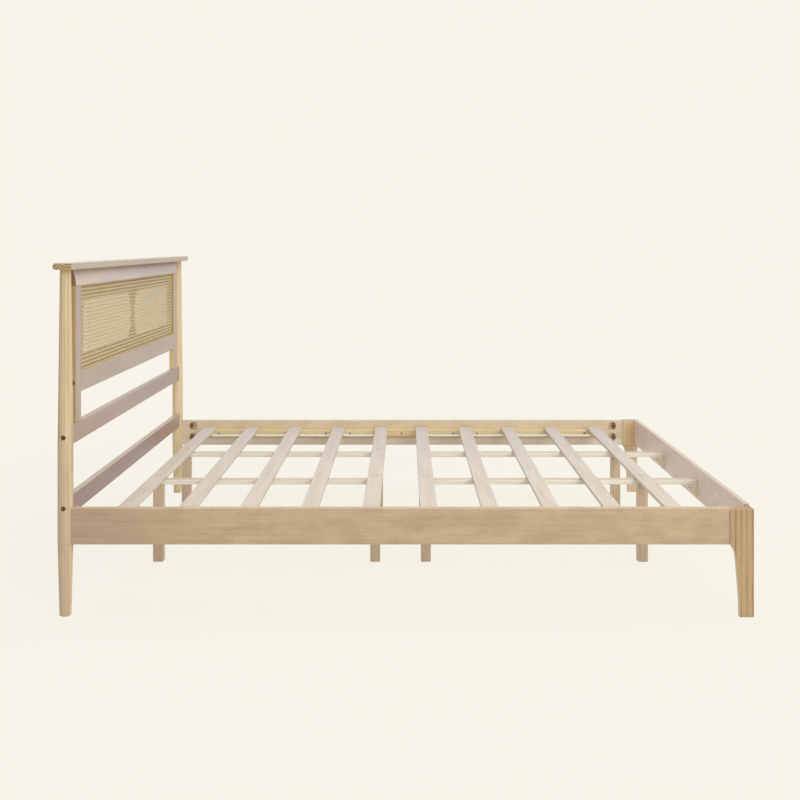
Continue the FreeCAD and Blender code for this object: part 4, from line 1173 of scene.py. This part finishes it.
@dataclass
class RailHardware:
    """The threaded bolts of the side rails' corners and the hexagon nuts in their pockets."""

    bolts: str = "side_rail_bolts"
    nuts: str = "side_rail_nuts"
    pitch_mm: float = 1.25
    thread_mm: float = 0.55
    chamfer_mm: float = 1.1
    dome_share: float = 1.02
    bore_share: float = 0.54
    bolt_sides: int = 16
    nut_sides: int = 6
    dome_sides: int = 32
    bore_sides: int = 20

    def build(self, nodes: dict[str, bpy.types.Object]) -> None:
        """Model all bolts and all nuts, each kind as one piece.

        Args:
            nodes: the frame's nodes by name.
        """
        shafts = [self.bolt(low, high) for low, high in loose_boxes(nodes[self.bolts])]
        bolts = join(shafts, "side_rail_bolts_threaded")
        boxes = loose_boxes(nodes[self.nuts])
        places = [((low + high) / 2, Run.ALONG_X.way) for low, high in boxes]
        nuts = set_out(self.nut(boxes[0][1] - boxes[0][0]), places, "side_rail_nuts_chamfered")
        for piece, node in ((bolts, self.bolts), (nuts, self.nuts)):
            dress(piece, COPPERED_STEEL.material())
            hand_over(piece, "bolt", node)

    def bolt(self, low: Vector, high: Vector) -> bpy.types.Object:
        """Model one threaded bolt along X inside its CAD box.

        Args:
            low: the box's low corner.
            high: its high corner.

        Returns:
            The bolt.
        """
        radius = (high.z - low.z) / 2
        turns = math.floor((high.x - low.x) / (self.pitch_mm * MM))
        pitch = (high.x - low.x) / turns
        middle = (low + high) / 2
        clear_selection()
        bpy.ops.mesh.primitive_cylinder_add(
            vertices=self.bolt_sides,
            radius=radius,
            depth=pitch,
            end_fill_type="NOTHING",
            location=(low.x + pitch / 2, middle.y, middle.z),
            rotation=Run.ALONG_X.value,
        )
        bolt = start_piece("side_rail_bolt")
        edit_all()
        crest = low.x + pitch / 2
        bpy.ops.mesh.bisect(plane_co=(crest, middle.y, middle.z), plane_no=(1, 0, 0))
        pick(bolt, lambda corner: abs(corner.x - crest) > pitch / 4)
        root = 1 - self.thread_mm * MM / radius
        bpy.ops.transform.resize(value=(1, root, root), center_override=middle)
        bpy.ops.object.mode_set(mode="OBJECT")
        repeat(bolt, (pitch, 0, 0), turns, merge=True)
        edit_all()
        bpy.ops.mesh.fill_holes(sides=self.bolt_sides)
        bpy.ops.mesh.normals_make_consistent(inside=False)
        bpy.ops.object.mode_set(mode="OBJECT")
        return bolt

    def nut(self, size: Vector) -> bpy.types.Object:
        """Model one hexagon nut at the origin along Z, with chamfered corners and a hole.

        Args:
            size: the CAD nut's size, whose X is its thickness.

        Returns:
            The nut.
        """
        radius = max(size.y, size.z) / 2
        # The hexagon and the bore reach past the dome, which gives the nut its thickness.
        tall = 2 * size.x
        clear_selection()
        bpy.ops.mesh.primitive_cylinder_add(vertices=self.nut_sides, radius=radius, depth=tall)
        nut = start_piece("side_rail_nut")
        clear_selection()
        bpy.ops.mesh.primitive_cylinder_add(
            vertices=self.dome_sides, radius=self.dome_share * radius, depth=size.x
        )
        dome = start_piece("nut_dome")
        pick_faces(dome, lambda face: abs(face.normal.z) > LEVEL_SHARE)
        bpy.ops.mesh.bevel(offset=self.chamfer_mm * MM, segments=1, affect="EDGES")
        bpy.ops.object.mode_set(mode="OBJECT")
        cut_with(nut, dome, "INTERSECT")
        clear_selection()
        bpy.ops.mesh.primitive_cylinder_add(
            vertices=self.bore_sides, radius=self.bore_share * size.y / 2, depth=tall
        )
        cut_with(nut, start_piece("nut_bore"))
        return nut


@dataclass
class WebbingStrap:
    """One woven strap that is stapled under the middle of each slat of its set and sags between the staples."""

    node: str
    slats: tuple[str, ...]
    step_mm: float = 6.0
    sag_mm: float = 5.5
    held_mm: float = 14.0
    thick_mm: float = 1.1
    cup_share: float = 0.12
    flat_mm: tuple[float, float] = (44.0, 824.0)
    staple_mm: tuple[float, float, float] = (10.0, 1.2, 6.0)
    staple_gap_mm: float = 22.0
    staple_edge_mm: float = 0.15
    edge_mm: float = 0.2
    steps_across: int = 6
    sag_power: int = 4
    low: Vector = field(init=False)
    high: Vector = field(init=False)
    middle: Vector = field(init=False)
    holds: list[float] = field(init=False)
    top: float = field(init=False)

    def __post_init__(self) -> None:
        """Take the strap's box, the places of its staples and the slats' underside from the frame."""
        self.low, self.high = node_box(self.node)
        self.middle = (self.low + self.high) / 2
        rests = [node_box(slat) for slat in self.slats]
        self.holds = [(low.x + high.x) / 2 for low, high in rests]
        self.top = rests[0][0].z

    def build(self) -> None:
        """Weave the strap, then staple it to each slat."""
        strap = self.strap()
        dress(strap, WHITE_WEBBING.material(self.middle))
        hand_over(strap, "strap", self.node)
        staples = self.staples()
        dress(staples, ZINC_STEEL.material())
        hand_over(staples, "steel")

    def sag(self, x: float) -> float:
        """Say how far the strap hangs below the slats at a place along it.

        Args:
            x: the place.

        Returns:
            The sag there, which is none where a slat holds the strap.
        """
        for before, after in zip(self.holds, self.holds[1:]):
            start, end = before + self.held_mm / 2 * MM, after - self.held_mm / 2 * MM
            if start < x < end:
                from_middle = 2 * (x - start) / (end - start) - 1
                return self.sag_mm * MM * (1 - from_middle**self.sag_power)
        return 0.0

    def strap(self) -> bpy.types.Object:
        """Model the strap as a thin sheet whose edges cup a little where it hangs free.

        Returns:
            The strap.
        """
        size = self.high - self.low
        clear_selection()
        bpy.ops.mesh.primitive_grid_add(
            x_subdivisions=round(size.x / (self.step_mm * MM)),
            y_subdivisions=self.steps_across,
            size=1,
            location=(self.middle.x, self.middle.y, self.top - self.thick_mm / 2 * MM),
        )
        bpy.ops.transform.resize(value=(size.x, size.y, 1))
        strap = start_piece(f"{self.node}_woven")
        for corner in strap.data.vertices:
            sag = self.sag(corner.co.x)
            across = (corner.co.y - self.middle.y) / (size.y / 2)
            corner.co.z -= sag * (1 + self.cup_share * (1 - across * across))
        apply_modifier(strap, "SOLIDIFY", thickness=self.thick_mm * MM, offset=0.0)
        apply_modifier(strap, "BEVEL", width=self.edge_mm * MM, segments=1, limit_method="ANGLE")
        bpy.ops.object.shade_smooth()
        return strap

    def staples(self) -> bpy.types.Object:
        """Model two staples at each slat: a crown under the strap and two legs up into the slat.

        Returns:
            All staples of this strap as one piece.
        """
        crown, wire, leg = (size * MM for size in self.staple_mm)
        clear_selection()
        bpy.ops.mesh.primitive_cube_add(size=1, scale=(crown, wire, wire / 2))
        staple = start_piece("staple_pattern")
        bpy.ops.object.mode_set(mode="EDIT")
        for side in (-1, 1):
            bpy.ops.mesh.select_all(action="SELECT")
            bpy.ops.mesh.bisect(plane_co=(side * (crown / 2 - wire), 0, 0), plane_no=(1, 0, 0))
        pick_faces(staple, lambda face: face.normal.z < -LEVEL_SHARE and abs(face.center.x) > crown / 2 - wire)
        bpy.ops.mesh.extrude_region_move(TRANSFORM_OT_translate={"value": (0, 0, -leg)})
        bpy.ops.object.mode_set(mode="OBJECT")
        apply_modifier(staple, "BEVEL", width=self.staple_edge_mm * MM, segments=1, limit_method="ANGLE")
        z = self.top - self.thick_mm * MM - wire / 4
        gap = self.staple_gap_mm / 2 * MM
        places = [
            (Vector((x, self.middle.y + side * gap, z)), Vector((0, 0, -1)))
            for x in self.holds
            for side in (-1, 1)
        ]
        return set_out(staple, places, f"{self.node}_staples", turn=0.0)


@dataclass(frozen=True)
class SoftBox:
    """A square soft lamp: where it hangs, its side and its power in watts."""

    name: str
    place: tuple[float, float, float]
    size: float
    watts: float


@dataclass
class Studio:
    """The pale floor, a wide box overhead, a key box to the right of the camera, and the camera itself."""

    backdrop: str = "#F8F4E9"
    bounce: str = "#DDD8CE"
    floor_half: float = 30.0
    shadow_share: float = 0.12
    shadow_reach: float = 3.2
    ambient: tuple[float, float] = (0.34, 0.7)
    overhead: SoftBox = SoftBox("overhead_box", (0.4, 0.2, 4.2), 4.0, 95.0)
    key: SoftBox = SoftBox("key_box", (2.6, -6.8, 3.0), 3.0, 190.0)
    lit_point: tuple[float, float, float] = (0.0, 0.0, 0.35)
    lens_mm: float = 47.09
    camera_place: tuple[float, float, float] = (0.0, -3.9655, 1.130)
    shift: tuple[float, float] = (-0.00625, -0.196)

    def seen(self, tree: bpy.types.NodeTree) -> bpy.types.NodeSocket:
        """Say which rays see the backdrop's own colour.

        Args:
            tree: the floor's or the world's tree.

        Returns:
            1 for camera, glossy and transmission rays.
        """
        camera, glossy, transmission = (
            add_node(tree, "ShaderNodeLightPath", output=f"Is {kind} Ray")
            for kind in ("Camera", "Glossy", "Transmission")
        )
        mirrored = add_node(tree, "ShaderNodeMath", {0: glossy, 1: transmission}, operation="ADD")
        return add_node(tree, "ShaderNodeMath", {0: camera, 1: mirrored}, operation="ADD", use_clamp=True)

    def build_world(self) -> None:
        """Surround the bed with white light, weaker behind the headboard, and let the backdrop's cream be seen."""
        world = bpy.data.worlds.new("studio_world")
        bpy.context.scene.world = world
        world.use_nodes = True
        tree = world.node_tree
        tree.nodes.clear()
        way = add_node(tree, "ShaderNodeTexCoord", output="Generated")
        across = add_node(tree, "ShaderNodeSeparateXYZ", {0: way}, "X")
        behind, ahead = self.ambient
        level = add_node(tree, "ShaderNodeMapRange", {0: across, 1: -1.0, 2: 1.0, 3: behind, 4: ahead})
        light = add_node(tree, "ShaderNodeBackground", {0: "#FFFFFF", 1: level})
        cream = add_node(tree, "ShaderNodeBackground", {0: self.backdrop, 1: 1.0})
        mix = add_node(tree, "ShaderNodeMixShader", {0: self.seen(tree), 1: light, 2: cream})
        add_node(tree, "ShaderNodeOutputWorld", {"Surface": mix})

    def build_floor(self) -> None:
        """Lay the floor, which shows the backdrop's cream and keeps a faint shadow near the bed."""
        clear_selection()
        bpy.ops.mesh.primitive_plane_add(size=2 * self.floor_half)
        floor = start_piece("studio_floor")
        material, tree, place = start_material("studio_floor")
        paint, bounce = (
            add_node(tree, "ShaderNodeBsdfDiffuse", {0: colour}) for colour in (self.backdrop, self.bounce)
        )
        glow = add_node(tree, "ShaderNodeEmission", {0: self.backdrop, 1: 1.0})
        far = add_node(tree, "ShaderNodeVectorMath", {0: place}, "Value", operation="LENGTH")
        fade = {0: far, 1: self.shadow_reach / 2, 2: self.shadow_reach, 3: self.shadow_share, 4: 0.0}
        share = add_node(tree, "ShaderNodeMapRange", fade)
        shown = add_node(tree, "ShaderNodeMixShader", {0: share, 1: glow, 2: paint})
        mix = add_node(tree, "ShaderNodeMixShader", {0: self.seen(tree), 1: bounce, 2: shown})
        add_node(tree, "ShaderNodeOutputMaterial", {"Surface": mix})
        dress(floor, material)

    def hang(self, box: SoftBox) -> None:
        """Hang one soft box so that it faces the bed.

        Args:
            box: the lamp.
        """
        lamp = bpy.data.lights.new(box.name, "AREA")
        lamp.size = box.size
        lamp.energy = box.watts
        holder = bpy.data.objects.new(box.name, lamp)
        holder.location = box.place
        aim = Vector(self.lit_point) - Vector(box.place)
        holder.rotation_euler = aim.to_track_quat("-Z", "Y").to_euler()
        bpy.context.scene.collection.objects.link(holder)

    def build_camera(self) -> None:
        """Stand the camera level in front of the near side rail."""
        camera = bpy.data.cameras.new("camera")
        camera.lens = self.lens_mm
        camera.shift_x, camera.shift_y = self.shift
        holder = bpy.data.objects.new("camera", camera)
        holder.location = self.camera_place
        holder.rotation_euler = (QUARTER, 0, 0)
        bpy.context.scene.collection.objects.link(holder)
        bpy.context.scene.camera = holder

    def build(self) -> None:
        """Set up the whole studio."""
        bpy.context.scene.view_settings.view_transform = "Standard"
        self.build_world()
        self.build_floor()
        self.hang(self.overhead)
        self.hang(self.key)
        self.build_camera()
        LOG.info("set up the studio")


def main() -> None:
    """Load the frame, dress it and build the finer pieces."""
    logging.basicConfig(level=logging.INFO, format="%(name)s: %(message)s")
    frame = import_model()
    nodes = frame["nodes"]
    clear_selection()
    Timber().dress(nodes)
    CaneSheet().build()
    for node, finish in (
        ("headboard_bolts", BRONZED_STEEL),
        ("centre_leg_bolts", BRONZED_STEEL),
        ("half_moon_washers", COPPERED_STEEL),
        ("barrel_nuts", ZINC_STEEL),
    ):
        dress(nodes[node], finish.material())
    CrossScrews("slat_screws", lambda middle: Vector(UPWARD)).build(nodes)
    CrossScrews("cleat_screws", lambda middle: Vector(TO_HEAD)).build(nodes)
    CrossScrews("ledger_screws", inward).build(nodes)
    RailHardware().build(nodes)
    for side in ("left", "right"):
        for number in (1, 2):
            first = 1 + (number - 1) * SLATS_PER_SET
            slats = tuple(f"slat_{slat:02d}" for slat in range(first, first + SLATS_PER_SET))
            WebbingStrap(f"strap_{side}_{number}", slats).build()
    dress(nodes["cane_spline"], SPLINE_REED.material(Run.ALONG_Y, middle_of("cane_spline")))
    Studio().build()


if __name__ == "__main__":
    main()
